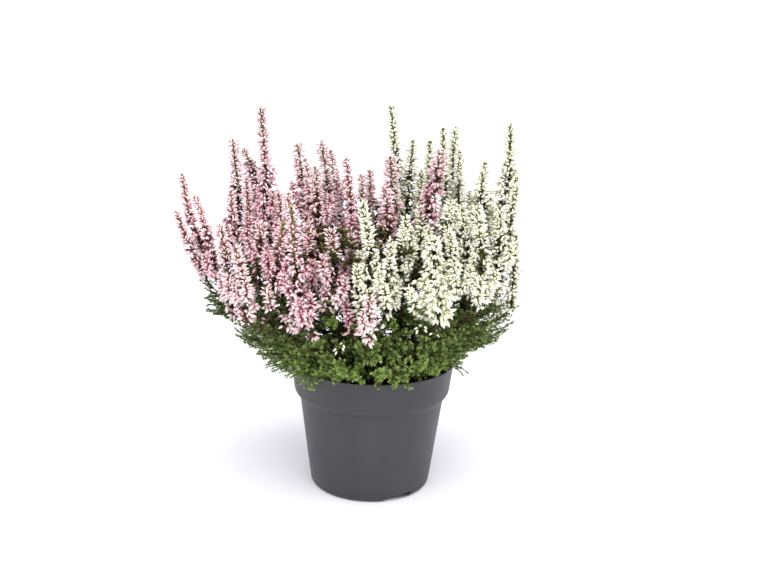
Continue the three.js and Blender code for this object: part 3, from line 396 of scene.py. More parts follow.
# A scale leaf: a keeled kite of four faces, base, both edges and tip.
LEAF = dict(
    v=np.array([(0, 0, 0), (-0.5, 0.5, 0.42), (0.5, 0.5, 0.42), (0, 0.15, 1.0)], float),
    f=np.array([(0, 1, 2), (1, 3, 2), (0, 2, 3), (0, 3, 1)]),
    along=np.array([0.0, 0.42, 0.42, 1.0]),
    around=np.array([0.5, 0.05, 0.95, 0.5]),
)
# A pedicel: a slim three-sided spike, thick at the axis.
PEDICEL = dict(
    v=np.array([(1, 0, 0), (-0.5, 0.866, 0.02), (-0.5, -0.866, 0.04), (0, 0, 1.0)], float),
    f=np.array([(0, 2, 1), (0, 1, 3), (1, 2, 3), (2, 0, 3)]),
    along=np.array([0.0, 0.15, 0.3, 1.0]),
    around=np.array([0.1, 0.5, 0.9, 0.5]),
)


def rim_radius(z):
    """The pot's outside radius at the heights of its collar."""
    return np.interp(z, [81.6, 101.0], [62.34, 65.0])


def in_wall(p, room):
    """Which points lie in the pot's collar or nearer to it than the room."""
    r, z = np.hypot(p[..., 0], p[..., 1]), p[..., 2]
    ro = rim_radius(z)
    return (z < 102.1 + room) & (r > ro - 1.65 - room) & (r < ro + room)


def over_rim(P):
    """The same path, lifted over the lip where it would pass through the collar."""
    if not in_wall(P, 1.3).any():
        return P
    P = P.copy()
    for turn in range(5):
        hit = in_wall(P, 1.3)
        P[hit, 2] = 103.7
        if turn == 4:
            break
        near = np.array([hit[max(i - 4, 0) : i + 5].any() for i in range(1, len(P) - 1)], bool)
        mean = 0.5 * P[1:-1] + 0.25 * (P[:-2] + P[2:])
        P[1:-1][near] = mean[near]
    return P


def free_of_pot(at, d, L):
    """Which leaves keep clear of the pot's collar, from base to tip."""
    t = np.linspace(0.0, 1.0, 6)[None, :, None]
    return ~in_wall(at[:, None] + t * (d * np.reshape(L, (-1, 1)))[:, None], 0.5).any(1)


def leaves_on(store, P, rng, tone, shade, spread=0.5, size=2.4, gap=1.0, start=0.0, radius=0.3, tuft=True, width=1.0):
    """Scale leaves in four rows along a shoot, in crossed pairs, with a tuft at its tip."""
    total = length_of(P)
    if total < 2:
        return
    s = np.arange(start * total, total - 0.5, gap)
    if not len(s):
        return
    s = s + rng.normal(0, 0.12 * gap, len(s))
    at, T, N, B = at_lengths(P, np.clip(s, 0, total))
    i = np.arange(len(s))
    for side in (0, 1):
        phi = (i % 2) * (math.pi / 2) + side * math.pi + 0.12 * i + rng.normal(0, 0.25, len(s))
        radial = np.cos(phi)[:, None] * N + np.sin(phi)[:, None] * B
        u = s / total
        open_by = np.radians(22 + 44 * spread) * (1.0 - 0.35 * u) * rng.uniform(0.8, 1.2, len(s))
        d = unit(np.cos(open_by)[:, None] * T + np.sin(open_by)[:, None] * radial)
        w = unit(np.cross(T, radial))
        L = size * (1.0 - 0.3 * u) * rng.uniform(0.8, 1.2, len(s))
        ok = free_of_pot(at, d, L)
        wide = L * rng.uniform(0.29, 0.37, len(s)) * width
        # tone and shade rise from a shoot's base to its tip: the tips' paler young growth, and painted shade darkening
        # the bases inside the tufts with painted light on the tips
        row = row_of(tone - 0.18 + 0.56 * u + rng.normal(0, 0.12, len(s)), shade - 0.26 + 0.5 * u + rng.normal(0, 0.22, len(s)))
        if ok.any():
            store.stamp(LEAF, (at + radial * radius * 0.6)[ok], d[ok], w[ok], L[ok], wide[ok], (L * 0.15)[ok], row[ok])
    if tuft:
        n = 6
        phi = np.arange(n) * 2 * math.pi / n + rng.uniform(0, 6)
        t, a, b = T[-1], N[-1], B[-1]
        radial = np.cos(phi)[:, None] * a + np.sin(phi)[:, None] * b
        open_by = np.radians(12 + 34 * spread) * rng.uniform(0.6, 1.2, n)
        d = unit(np.cos(open_by)[:, None] * t + np.sin(open_by)[:, None] * radial)
        w = unit(np.cross(t, radial))
        L = size * 0.76 * rng.uniform(0.8, 1.15, n)
        at = np.tile(P[-1] - t * 0.5, (n, 1))
        ok = free_of_pot(at, d, L)
        # the tip tuft a step paler and lighter in shade: young growth, with painted light
        row = row_of(np.full(n, tone + 0.3), np.full(n, shade + 0.2))
        if ok.any():
            store.stamp(LEAF, at[ok], d[ok], w[ok], L[ok], (L * 0.36 * width)[ok], (L * 0.15)[ok], row[ok])


# ---- materials ------------------------------------------------------------------------------------------
def srgb(r, g, b):
    return tuple((x / 255 / 12.92) if x <= 10.3 else ((x / 255 + 0.055) / 1.055) ** 2.4 for x in (r, g, b)) + (1.0,)


def new_material(name, roughness, specular=0.3, sheen=0.0, coat=0.0):
    mat = bpy.data.materials.new(name)
    mat.use_nodes = True
    nt = mat.node_tree
    b = nt.nodes["Principled BSDF"]
    b.inputs["Roughness"].default_value = roughness
    b.inputs["Specular IOR Level"].default_value = specular
    b.inputs["Sheen Weight"].default_value = sheen
    b.inputs["Coat Weight"].default_value = coat
    return mat, nt, b


def attribute(nt, name):
    n = nt.nodes.new("ShaderNodeAttribute")
    n.attribute_name = name
    return n.outputs["Fac"]


def ramp(nt, fac, stops):
    n = nt.nodes.new("ShaderNodeValToRGB")
    e = n.color_ramp.elements
    while len(e) < len(stops):
        e.new(0.5)
    for x, (p, c) in zip(e, stops):
        x.position, x.color = p, srgb(*c)
    nt.links.new(fac, n.inputs["Fac"])
    return n.outputs["Color"]


def mix(nt, fac, a, b, blend="MIX"):
    n = nt.nodes.new("ShaderNodeMix")
    n.data_type = "RGBA"
    n.blend_type = blend
    for socket, value in ((n.inputs[0], fac), (n.inputs[6], a), (n.inputs[7], b)):
        if hasattr(value, "links"):
            nt.links.new(value, socket)
        elif isinstance(value, (int, float)):
            socket.default_value = value
        else:
            socket.default_value = value
    return n.outputs[2]


def number(nt, value, low, high, to_low, to_high):
    n = nt.nodes.new("ShaderNodeMapRange")
    nt.links.new(value, n.inputs["Value"])
    for k, x in zip(("From Min", "From Max", "To Min", "To Max"), (low, high, to_low, to_high)):
        n.inputs[k].default_value = x
    return n.outputs["Result"]


def chart_material(name, low, high, roughness, specular=0.3, sheen=0.0, dark=0.62, light=1.08, groove_shade=0.0, through=0.0, reach=(1.0, 0.75, 0.7)):
    """A plant surface: colour runs along each bud, leaf or stem, between the tones `low` and `high`, in four shades
    that scale it from `dark` to `light`; where a caller sets the shade by position, that is painted shade and painted
    light.
    """
    mat, nt, b = new_material(name, roughness, specular, sheen)
    if through:  # thin sepals glow where light falls on their far side
        b.inputs["Subsurface Weight"].default_value = through
        b.inputs["Subsurface Radius"].default_value = reach
        b.inputs["Subsurface Scale"].default_value = 0.0014
    along, tone, shade = (attribute(nt, x) for x in ("along", "tone", "shade"))
    colour = mix(nt, tone, ramp(nt, along, low), ramp(nt, along, high))
    # shade scales the colour between dark and light: random steps of brightness where callers pick the shade at random,
    # painted shade and painted light where they set it by position
    level = number(nt, shade, 0, 1, dark, light)
    if groove_shade:  # darker lines at the edges between sepals, or along a leaf's midrib: painted shade for the grooves there
        around = attribute(nt, "around")
        m = nt.nodes.new("ShaderNodeMath")
        m.operation = "MULTIPLY"
        nt.links.new(around, m.inputs[0])
        m.inputs[1].default_value = 2 * math.pi * 4
        c = nt.nodes.new("ShaderNodeMath")
        c.operation = "COSINE"
        nt.links.new(m.outputs[0], c.inputs[0])
        level2 = number(nt, c.outputs[0], -1, 1, 1.0 - groove_shade, 1.0)
        k = nt.nodes.new("ShaderNodeMath")
        k.operation = "MULTIPLY"
        nt.links.new(level, k.inputs[0])
        nt.links.new(level2, k.inputs[1])
        level = k.outputs[0]
    n = nt.nodes.new("ShaderNodeVectorMath")
    n.operation = "SCALE"
    nt.links.new(colour, n.inputs[0])
    nt.links.new(level, n.inputs["Scale"])
    nt.links.new(n.outputs[0], b.inputs["Base Color"])
    return mat


# Both bud ramps start dark at the base: the calyx's own olive or brown, deepened as painted shade where each bud meets
# its stalk; they run to a pale cream tip.
pink_bud = chart_material(
    "pink_sepals",
    [(0.0, (78, 32, 24)), (0.16, (142, 52, 72)), (0.34, (212, 112, 152)), (0.6, (242, 172, 199)), (0.82, (254, 218, 222)), (1.0, (255, 243, 230))],
    [(0.0, (110, 74, 42)), (0.14, (196, 126, 126)), (0.3, (250, 202, 210)), (0.56, (255, 230, 233)), (0.8, (255, 244, 236)), (1.0, (255, 251, 240))],
    0.48, 0.34, 0.1, dark=0.62, light=1.13, groove_shade=0.1, through=0.3, reach=(1.0, 0.72, 0.78),
)
white_bud = chart_material(
    "white_sepals",
    [(0.0, (72, 82, 30)), (0.18, (140, 150, 76)), (0.38, (222, 225, 162)), (0.7, (247, 247, 206)), (1.0, (253, 253, 228))],
    [(0.0, (92, 102, 44)), (0.13, (176, 182, 112)), (0.28, (250, 249, 212)), (0.6, (255, 255, 236)), (1.0, (255, 255, 245))],
    0.48, 0.34, 0.1, dark=0.78, light=1.1, groove_shade=0.05, through=0.4, reach=(0.95, 1.0, 0.85),
)
pink_stalk = chart_material(
    "pink_plant_stalks",
    [(0.0, (40, 12, 8)), (0.5, (66, 22, 19)), (1.0, (104, 50, 42))],
    [(0.0, (78, 78, 32)), (0.5, (120, 124, 54)), (1.0, (190, 190, 118))],
    0.6, 0.25, 0.0, dark=0.6, light=1.1,
)
white_stalk = chart_material(
    "white_plant_stalks",
    [(0.0, (32, 26, 9)), (0.5, (50, 43, 15)), (1.0, (86, 77, 33))],
    [(0.0, (68, 82, 34)), (0.5, (104, 120, 56)), (1.0, (178, 188, 116))],
    0.6, 0.25, 0.0, dark=0.6, light=1.1,
)
leaf_green = chart_material(
    "scale_leaves",
    [(0.0, (25, 30, 8)), (0.5, (39, 53, 13)), (1.0, (67, 90, 33))],
    [(0.0, (62, 90, 23)), (0.5, (122, 156, 60)), (1.0, (206, 220, 148))],
    0.46, 0.36, 0.0, dark=0.38, light=1.15,
)
twig_brown = chart_material(
    "woody_stems",
    [(0.0, (52, 30, 22)), (0.5, (80, 46, 34)), (1.0, (92, 58, 40))],
    [(0.0, (92, 56, 40)), (0.5, (104, 72, 48)), (1.0, (96, 88, 52))],
    0.8, 0.2, 0.0, dark=0.62, light=1.1,
)

# ---- stems, spikes and their side branches ---------------------------------------------------------------
SPIKE_FROM = 4  # the spike of buds starts at this point of a flower stem
envelope_t = np.array([0.0, 0.06, 0.17, 0.38, 0.6, 0.8, 0.93, 1.0])
envelope_r = np.array([0.74, 1.08, 1.2, 1.1, 0.84, 0.66, 0.5, 0.3])

stems = {}  # name -> dict(kind, path, spike path, radius)
for name, node, radius, pts in MAIN:
    whole = spline(pts, 1.5)
    low = np.argmin(np.linalg.norm(whole - np.array(pts[SPIKE_FROM]), axis=1))
    stems[name] = dict(kind=name[0], node=node, path=whole, spike=whole[low:], radius=radius, main=True, low=low)
for name, node, pts in SHOOTS:
    stems[name] = dict(kind="g", node=node, path=spline(pts, 1.5), radius=3.0, main=True)

# Side spikes branch from the nearest stem of their own plant, a little below where they start.
for name, radius, pts in SIDE:
    spike = spline(pts, 1.5)
    start, going = spike[0], unit(spike[min(6, len(spike) - 1)] - spike[0])
    best = None
    for other in stems.values():
        if other["kind"] != name[0] or not other["main"]:
            continue
        P = other["path"]
        upto = other["low"] + int(0.35 * (len(P) - other["low"]))
        P = P[8:upto]
        want = start - going * 14 - np.array((0, 0, 8.0))
        d = np.linalg.norm(P - want, axis=1) + 4 * np.maximum(P[:, 2] - start[2] + 6, 0)
        i = int(np.argmin(d))
        if best is None or d[i] < best[0]:
            best = (d[i], P[i], unit(P[min(i + 3, len(P) - 1)] - P[max(i - 1, 0)]))
    _, root, lead = best
    reach = np.linalg.norm(start - root)
    branch = bezier(root, root + lead * reach * 0.4, start - going * reach * 0.4, start, 1.5)
    stems[name] = dict(kind=name[0], path=np.vstack([branch[:-1], spike]), spike=spike, radius=radius, main=False, low=len(branch) - 1)

buds = {f"{c}_{k}": Cluster() for c in ("pink", "white") for k in ("left", "middle", "right")}
stalks = {"pink": Cluster(), "white": Cluster()}
wood = {"pink": Cluster(), "white": Cluster()}
DOWN = np.array((0.0, 0.0, -1.0))
bud_count = 0


def bud_store(pink, x):
    if pink:
        return buds["pink_left" if x < -92 else "pink_middle" if x < -52 else "pink_right"]
    return buds["white_left" if x < 38 else "white_middle" if x < 72 else "white_right"]


def put_buds(pink, at, d, L, tone, shade, rng, fine=True, slim=1.0, cream=0.0):
    """Buds with their low ends at `at`, pointing along d; a share `cream` of a pink spike's buds has opened pale."""
    global bud_count
    n = len(at)
    if not n:
        return
    if cream:
        pale = rng.random(n) < cream
        tone = np.broadcast_to(tone, (n,))
        put_buds(False, at[pale], d[pale], L[pale], np.full(pale.sum(), 0.8), shade[pale], rng, fine, slim)
        at, d, L, tone, shade = at[~pale], d[~pale], L[~pale], tone[~pale], shade[~pale]
        n = len(at)
        if not n:
            return
    side = unit(np.cross(d, rng.normal(size=(n, 3))))
    W = L * rng.uniform(0.2, 0.245, n) * slim
    bud_store(pink, at[:, 0].mean()).stamp(BUD_FINE if fine else BUD_PLAIN, at, d, side, L, W, W * rng.uniform(0.86, 1.0, n), row_of(tone, shade))
    bud_count += n


def bracts(pink, P, rng, lengths, size, tone, opening, shade=0.5, whorl=0):
    """Small leaves standing off an axis, singly or so many to a whorl."""
    n = len(lengths)
    if not n:
        return
    at, T, N, B = at_lengths(P, lengths)
    if whorl:
        i = np.arange(n)
        phi = (i % whorl) * 2 * math.pi / whorl + (i // whorl) * 1.1 + rng.normal(0, 0.2, n)
    else:
        phi = np.arange(n) * 2.39996 + rng.normal(0, 0.5, n)
    radial = np.cos(phi)[:, None] * N + np.sin(phi)[:, None] * B
    o = np.radians(opening + rng.normal(0, 9, n))
    d = unit(np.cos(o)[:, None] * T + np.sin(o)[:, None] * radial)
    L = size * rng.uniform(0.8, 1.2, n)
    stalks["pink" if pink else "white"].stamp(
        LEAF, at + radial * 0.25, d, unit(np.cross(T, radial)), L, L * 0.42, L * 0.22,
        row_of(tone + rng.normal(0, 0.2, n), shade + rng.normal(0, 0.3, n)),
    )


def brush(pink, P, t0, t1, outer, size, each, base_tone, rng, fine=True):
    """The slim upper part of a spike: whorls of slender buds that stand straight out from the axis. outer, size and
    each (buds to a mm) are given at t0, midway and t1."""
    total = length_of(P)
    span = (t1 - t0) * total
    step = 1.9
    whorls = max(2, int(span / step))
    s, turn = [], []
    for k in range(whorls):
        u = (k + 0.5) / whorls
        m = int(round(np.interp(u, [0, 0.5, 1], each) * span / whorls + rng.uniform(-0.4, 0.4)))
        s.append(u + rng.normal(0, 0.22, m) / whorls)
        turn.append(1.1 * k + 2 * math.pi * np.arange(m) / max(m, 1) + rng.normal(0, 0.22, m))
    k, phi = np.concatenate(s), np.concatenate(turn)
    n = len(k)
    if not n:
        return
    at, T, N, B = at_lengths(P, np.clip(t0 * total + k * span, 0, total))
    radial = np.cos(phi)[:, None] * N + np.sin(phi)[:, None] * B
    rise = np.radians(np.interp(k, [0, 0.5, 1], [-6, 12, 34]) + rng.normal(0, 13, n))
    d = unit(np.cos(rise)[:, None] * radial + np.sin(rise)[:, None] * T)
    L = np.interp(k, [0, 0.5, 1], size) * rng.uniform(0.82, 1.16, n)
    out = np.interp(k, [0, 0.5, 1], outer) * rng.uniform(0.74, 1.12, n)
    reach = np.maximum(out - L * np.cos(rise), 0.3)
    base = at + radial * reach[:, None] + T * (0.3 * reach)[:, None]
    put_buds(pink, base, d, L, base_tone + rng.normal(0, 0.17, n), 0.88 + rng.normal(0, 0.2, n), rng, fine, 0.76 if pink else 0.84)
    far = reach > 1.9
    m = int(far.sum())
    if m:
        start = (at - T * 0.2 * reach[:, None])[far]
        way = (base + d * (0.1 * L)[:, None])[far] - start
        ln = np.linalg.norm(way, axis=1)
        way = way / ln[:, None]
        stalks["pink" if pink else "white"].stamp(
            PEDICEL, start, way, unit(np.cross(way, T[far] + 0.01)), ln, np.full(m, 0.34), np.full(m, 0.34),
            row_of(np.full(m, 0.4 if pink else 0.8), rng.uniform(0.2, 0.9, m)),
        )


def single_buds(pink, P, t0, t1, outer, size, droop, base_tone, rng, crowd=0.13, fine=True, slim=1.0):
    """Single buds on short stalks round an axis from t0 to t1; outer, size and droop are given at t0 and t1, crowd is buds to a square mm."""
    total = length_of(P)
    span = (t1 - t0) * total
    count = int(2 * math.pi * 0.5 * (outer[0] + outer[1]) * span * crowd)
    if count < 1:
        return
    k = (np.arange(count) + rng.uniform(0.1, 0.9, count)) / count
    t = t0 + (t1 - t0) * k
    at, T, N, B = at_lengths(P, t * total)
    phi = np.arange(count) * 2.39996 + rng.normal(0, 0.4, count)
    radial = np.cos(phi)[:, None] * N + np.sin(phi)[:, None] * B
    flat = unit(radial * (1, 1, 0.4) + rng.normal(0, 0.12, (count, 3)))
    dr = np.radians(droop[0] + (droop[1] - droop[0]) * k + rng.normal(0, 12, count))
    d = unit(np.cos(dr)[:, None] * flat + np.sin(dr)[:, None] * DOWN)
    L = (size[0] + (size[1] - size[0]) * k) * rng.uniform(0.82, 1.18, count)
    out = (outer[0] + (outer[1] - outer[0]) * k) * rng.uniform(0.74, 1.1, count)
    reach = np.maximum(out - L * np.maximum(np.cos(dr), 0.3) * 0.92, 0.35)
    base = at + radial * reach[:, None] + T * (0.35 * reach)[:, None]
    if pink:
        tone = base_tone + rng.normal(0, 0.2, count)
    else:
        tone = base_tone + rng.normal(0, 0.12, count)
    put_buds(pink, base, d, L, tone, 0.7 + rng.normal(0, 0.25, count), rng, fine, slim)
    far = reach > 1.6
    m = int(far.sum())
    if m:
        start = (at - T * 0.2 * reach[:, None])[far]
        way = (base + d * (0.1 * L)[:, None])[far] - start
        ln = np.linalg.norm(way, axis=1)
        way = way / ln[:, None]
        stalks["pink" if pink else "white"].stamp(
            PEDICEL, start, way, unit(np.cross(way, T[far] + 0.01)), ln, np.full(m, 0.34), np.full(m, 0.34),
            row_of(np.full(m, 0.4 if pink else 0.8), rng.uniform(0.2, 0.9, m)),
        )


def branchlets(pink, P, t0, t1, R, base_tone, rng, gap, droop, fine, cream=0.0, bud=1.0):
    """Short forked twigs, each with a bunch of buds, which make the broad lower part of a spike."""
    total = length_of(P)
    s = np.arange(t0 * total, t1 * total, gap)
    if not len(s):
        return
    s = s + rng.uniform(-0.4, 0.4, len(s)) * gap
    at, T, N, B = at_lengths(P, np.clip(s, 0, total))
    store = stalks["pink" if pink else "white"]
    phase = rng.uniform(0, 6)
    for k in range(len(s)):
        t = s[k] / total
        env = np.interp(t, envelope_t, envelope_r) * R * rng.uniform(0.66, 1.16)
        phi = phase + k * 2.39996 + rng.normal(0, 0.25)
        radial = math.cos(phi) * N[k] + math.sin(phi) * B[k]
        size = bud * float(np.interp(t, [0, 0.35, 0.7], [5.4, 5.2, 4.7])) * rng.uniform(0.92, 1.08)
        ln = max(env - 0.62 * size, 2.0)
        d0 = unit(radial + 0.55 * T[k])
        d1 = unit(radial + 0.25 * T[k] + 0.35 * DOWN * droop)
        mid = at[k] + d0 * ln * 0.55
        end = mid + d1 * ln * 0.55
        way = end - at[k]
        reach = float(np.linalg.norm(way))
        way = way / reach
        store.stamp(PEDICEL, at[k][None], way[None], unit(np.cross(way, T[k] + 0.01))[None], np.array([reach]), np.array([0.42]), np.array([0.42]), row_of(np.array([0.35 if pink else 0.7]), rng.uniform(0.2, 0.8, 1)))
        m = int(round(1.45 + reach * (0.66 if pink else 0.62) * rng.uniform(0.8, 1.2)))
        u = np.linspace(0.34, 0.98, m) + rng.uniform(-0.06, 0.06, m)
        a = unit(np.cross(way, (0.2, 0.3, 1.0)))
        b = np.cross(way, a)
        psi = rng.uniform(0, 6.3) + np.arange(m) * 2.39996
        around = np.cos(psi)[:, None] * a + np.sin(psi)[:, None] * b
        lean = np.interp(u, [0.3, 1.0], [0.95, 0.35])
        dr = np.radians(droop * 34 + rng.normal(0, 14, m))
        d = unit(way * (1.0 - 0.5 * lean)[:, None] + around * (0.95 * lean)[:, None] + np.tan(np.clip(dr, -1.1, 1.1))[:, None] * 0.8 * DOWN)
        L = size * rng.uniform(0.8, 1.14, m)
        base = at[k] + way * (u * reach)[:, None] + around * 0.12
        if pink:
            tone = base_tone + np.interp(t, [0, 0.35, 0.7], [0.25, 0.1, 0.0]) + rng.normal(0, 0.2, m)
        else:
            tone = base_tone + rng.normal(0, 0.1, m)
        put_buds(pink, base, d, L, tone, 0.7 + rng.normal(0, 0.28, m), rng, fine, 1.0, cream)
        if rng.random() < 0.8:
            v = rng.uniform(0.2, 0.9, 2)
            psi = rng.uniform(0, 6.3, 2)
            around = np.cos(psi)[:, None] * a + np.sin(psi)[:, None] * b
            ll = rng.uniform(1.8, 2.7, 2)
            store.stamp(LEAF, at[k] + way * (v * reach)[:, None], unit(way + 0.9 * around), unit(np.cross(way, around)), ll, ll * 0.42, ll * 0.2, row_of(0.6 + rng.normal(0, 0.15, 2), rng.uniform(0.1, 0.9, 2)))


def growing_tip(pink, P, base_tone, green_tip, rng, scale=1.0):
    """A blunt tip of small buds and leaves, packed close."""
    m = 11
    tipP, tipT = P[-1], unit(P[-1] - P[-3])
    a = unit(np.cross(tipT, (0.3, 1, 0.2)))
    b = np.cross(tipT, a)
    phi = np.arange(m) * 2.39996
    radial = np.cos(phi)[:, None] * a + np.sin(phi)[:, None] * b
    o = np.radians(np.linspace(56, 14, m))
    d = unit(np.cos(o)[:, None] * tipT + np.sin(o)[:, None] * radial)
    L = np.linspace(3.5, 2.3, m) * scale
    at = tipP - tipT * np.linspace(4.6, 1.6, m)[:, None] * scale
    leaf = np.arange(m) % 3 == 0
    if green_tip:
        leaf[:] = True
    side = unit(np.cross(tipT, radial))
    stalks["pink" if pink else "white"].stamp(LEAF, at[leaf], d[leaf], side[leaf], L[leaf] * 1.1, L[leaf] * 0.5, L[leaf] * 0.3, row_of(np.full(leaf.sum(), 0.6 + 0.4 * green_tip if pink else 1.0), np.full(leaf.sum(), 0.9)))
    bud = ~leaf
    if bud.any():
        bud_store(pink, tipP[0]).stamp(BUD_PLAIN, at[bud], d[bud], side[bud], L[bud], L[bud] * 0.17, L[bud] * 0.17, row_of(np.full(bud.sum(), (base_tone + 0.3) if pink else 0.8), np.full(bud.sum(), 0.9)))


def spike_of_buds(name, st, rng):
    """A spike: broad with bunched buds low down, a slim brush of single buds round a leafy axis above."""
    look = LOOK.get(name, {})
    pink = st["kind"] == "p"
    P, R = st["spike"], st["radius"] * look.get("wide", 1.0)
    total = length_of(P)
    full, green, low = look.get("full", 1.0), look.get("green", 0.0), look.get("low", 1.0)
    tone = look.get("tone", 0.3 + 0.4 * hashed(name, "tone")) if pink else 0.98 - 0.3 * green
    fine = P[:, 1].mean() < 6
    turn = look.get("turn", 0.56 + 0.1 * hashed(name, "turn"))  # where single buds take over
    if R < 5.2:
        turn *= 0.6
    top = look.get("top", min(max(0.85 * R, 5.4), 6.9) if pink else min(max(0.8 * R, 5.4), 6.6))
    gap = 1.6 / (full * (1 - 0.25 * green)) * (1.0 if fine else 1.12)
    branchlets(pink, P, look.get("first", 0.0), turn, R * low, tone, rng, gap, look.get("droop", 1.0), fine, look.get("cream", 0.0), look.get("bud", 1.0))
    mid = min(0.5 * (top + R * 0.9), 7.4)
    thin = full * (1 - 0.2 * green) * (1.0 if pink else 1.14) * look.get("open", 1.0)
    brush(pink, P, turn - 0.07, 0.975, (max(mid, top), top, 0.74 * top), (5.2, 4.9, 3.8), (4.1 * thin, 3.5 * thin, 3.5 * thin), tone + (0.38 if pink else 0.14), rng, fine)
    # leaves of the axis, closest together in the upper half, where they show
    if pink:
        n = int(total * (1 - turn) * (3.4 + green))
        s = total * (turn - 0.05 + (1.02 - turn) * (np.arange(n) + rng.random(n)) / max(n, 1))
        bracts(pink, P, rng, np.clip(s, 0, total - 0.4), 3.1, look.get("axis", 0.62), 36, 0.8)
    else:
        n = int(total * (1.04 - turn) / 2.3)
        s = np.repeat(total * (turn - 0.05 + (1.03 - turn) * (np.arange(n) + 0.5) / max(n, 1)), 4) + rng.normal(0, 0.15, 4 * n)
        bracts(pink, P, rng, np.clip(s, 0, total - 0.6), 4.2, 0.62 + 0.2 * green, 38, 0.66, whorl=4)
        n = int(total * (1 - turn) * 1.2)
        bracts(pink, P, rng, rng.uniform(turn * total, total - 0.5, n), 2.6, 0.7, 36, 0.7)
    # a dark core of leaves low in each spike, in the lowest tone and shade of the dark stalk colours: painted shade
    # that makes the gaps between the buds read dark
    n = int(total * turn * (3.0 if pink else 3.5))
    bracts(pink, P, rng, rng.uniform(0, turn * total, n), min(0.78 * R, 6.6), 0.14, 72, 0.15)
    growing_tip(pink, P, tone, look.get("green_tip", 0), rng, look.get("tip", 1.0))


def side_raceme(name, st, rng, start, azimuth, ln, R, tone, fine):
    """A shorter spike that leaves the lower half of a larger one."""
    pink = st["kind"] == "p"
    P = st["spike"]
    total = length_of(P)
    at, T, N, B = (x[0] for x in at_lengths(P, np.array([start * total])))
    radial = math.cos(azimuth) * N + math.sin(azimuth) * B
    radial = unit(radial * (1, 1, 0.3))
    up = unit(T + np.array((0, 0, 0.6)))
    end = at + radial * ln * 0.42 + up * ln * 0.82
    Q = bezier(at, at + unit(radial + 0.45 * up) * ln * 0.42, end - up * ln * 0.3, end, 1.5)
    q = resampled(Q, 4.0)
    stalks["pink" if pink else "white"].tube(q, np.linspace(0.5, 0.26, len(q)), 3, int(row_of(0.3 if pink else 0.6, 0.5)), 0.1, 1.0)
    m = length_of(Q)
    single_buds(pink, Q, 0.24, 0.6, (R * 1.05, R * 1.1), (4.9, 4.6), (28, 12), tone + 0.12, rng, 0.12, fine)
    brush(pink, Q, 0.56, 0.97, (R * 1.1, R, 0.7 * R), (4.6, 4.4, 3.3), (4.2, 3.6, 3.2), tone, rng, fine)
    n = int(m * 1.3)
    bracts(pink, Q, rng, rng.uniform(0.2 * m, m - 0.4, n), 2.5, 0.5 if pink else 0.6, 50, 0.4)
    growing_tip(pink, Q, tone, 0, rng, 0.85)


for name, st in stems.items():
    rng = np.random.default_rng(int(hashed(name) * 1e9))
    kind = {"p": "pink", "w": "white"}.get(st["kind"])
    P = st["path"]
    n = len(P)
    s = np.linspace(0, 1, n)
    if kind:
        look = LOOK.get(name, {})
        spike_of_buds(name, st, rng)
        many = look.get("sides", 0 if st["radius"] < 5.5 else 3 if st["radius"] < 8.5 else 4)
        spike_len = length_of(st["spike"])
        if spike_len < 34:
            many = min(many, 1)
        tone = look.get("tone", 0.3 + 0.4 * hashed(name, "tone")) if kind == "pink" else 0.98 - 0.3 * look.get("green", 0.0)
        turn0 = rng.uniform(0, 6.3)
        for k in range(many):
            ln = min(rng.uniform(18, 30), 0.42 * spike_len + 4) * look.get("side_len", 1.0)
            side_raceme(name, st, rng, rng.uniform(0.0, 0.3), turn0 + 2 * math.pi * k / max(many, 1) + rng.normal(0, 0.3), ln, rng.uniform(4.4, 5.4), tone, st["spike"][:, 1].mean() < 6)
        f = st["low"] / n
        r = np.interp(s, [0, f, 1], [1.05, 0.58, 0.3] if st["main"] else [0.7, 0.5, 0.3])
        # woody below, green-brown in the spike
        q = P[: st["low"] + 1]
        if len(q) > 4:
            q3 = resampled(q, 5.0)
            wood[kind].tube(q3, np.linspace(r[0], r[st["low"]], len(q3)), 5, int(row_of(0.25 + 0.5 * hashed(name, "w"), 0.5)), 0.0, 1.0)
        q = resampled(P[st["low"] :], 4.0)
        stalks[kind].tube(q, np.linspace(max(r[st["low"]], 0.7), 0.42, len(q)), 4, int(row_of(0.7 if kind == "pink" else 0.7, 0.75)), 0.1, 1.0)
print("BUDS", bud_count)

# ---- foliage --------------------------------------------------------------------------------------------
foliage = {"front": Cluster(), "left": Cluster(), "right": Cluster(), "back": Cluster()}


def part_of(p):
    if p[1] < -38 and abs(p[0]) < 75:
        return foliage["front"]
    if p[1] > 34:
        return foliage["back"]
    return foliage["left"] if p[0] < 0 else foliage["right"]


def bowl(theta, z):
    """How far out the foliage reaches at an angle (0 is +X, 90 degrees the back) and a height. Its sides hang lower towards the front."""
    c, s = np.cos(theta), np.sin(theta)
    hang = z + 22.0 * s
    right = np.interp(hang, [88, 102, 111, 116, 132, 153, 170], [62, 70, 78, 91, 111, 114, 107])
    left = np.interp(hang, [84, 93, 102, 107, 116, 133, 144, 150, 170], [66, 77, 87, 96, 104, 114, 127, 130, 122])
    zs = [98, 104, 111, 120, 135, 150, 165]
    front = np.interp(z, zs, [67, 74, 79, 84, 88, 86, 74])
    back = np.interp(z, zs, [65, 70, 77, 86, 92, 94, 88])
    return (right if c > 0 else left) * c * c + (back if s > 0 else front) * s * s


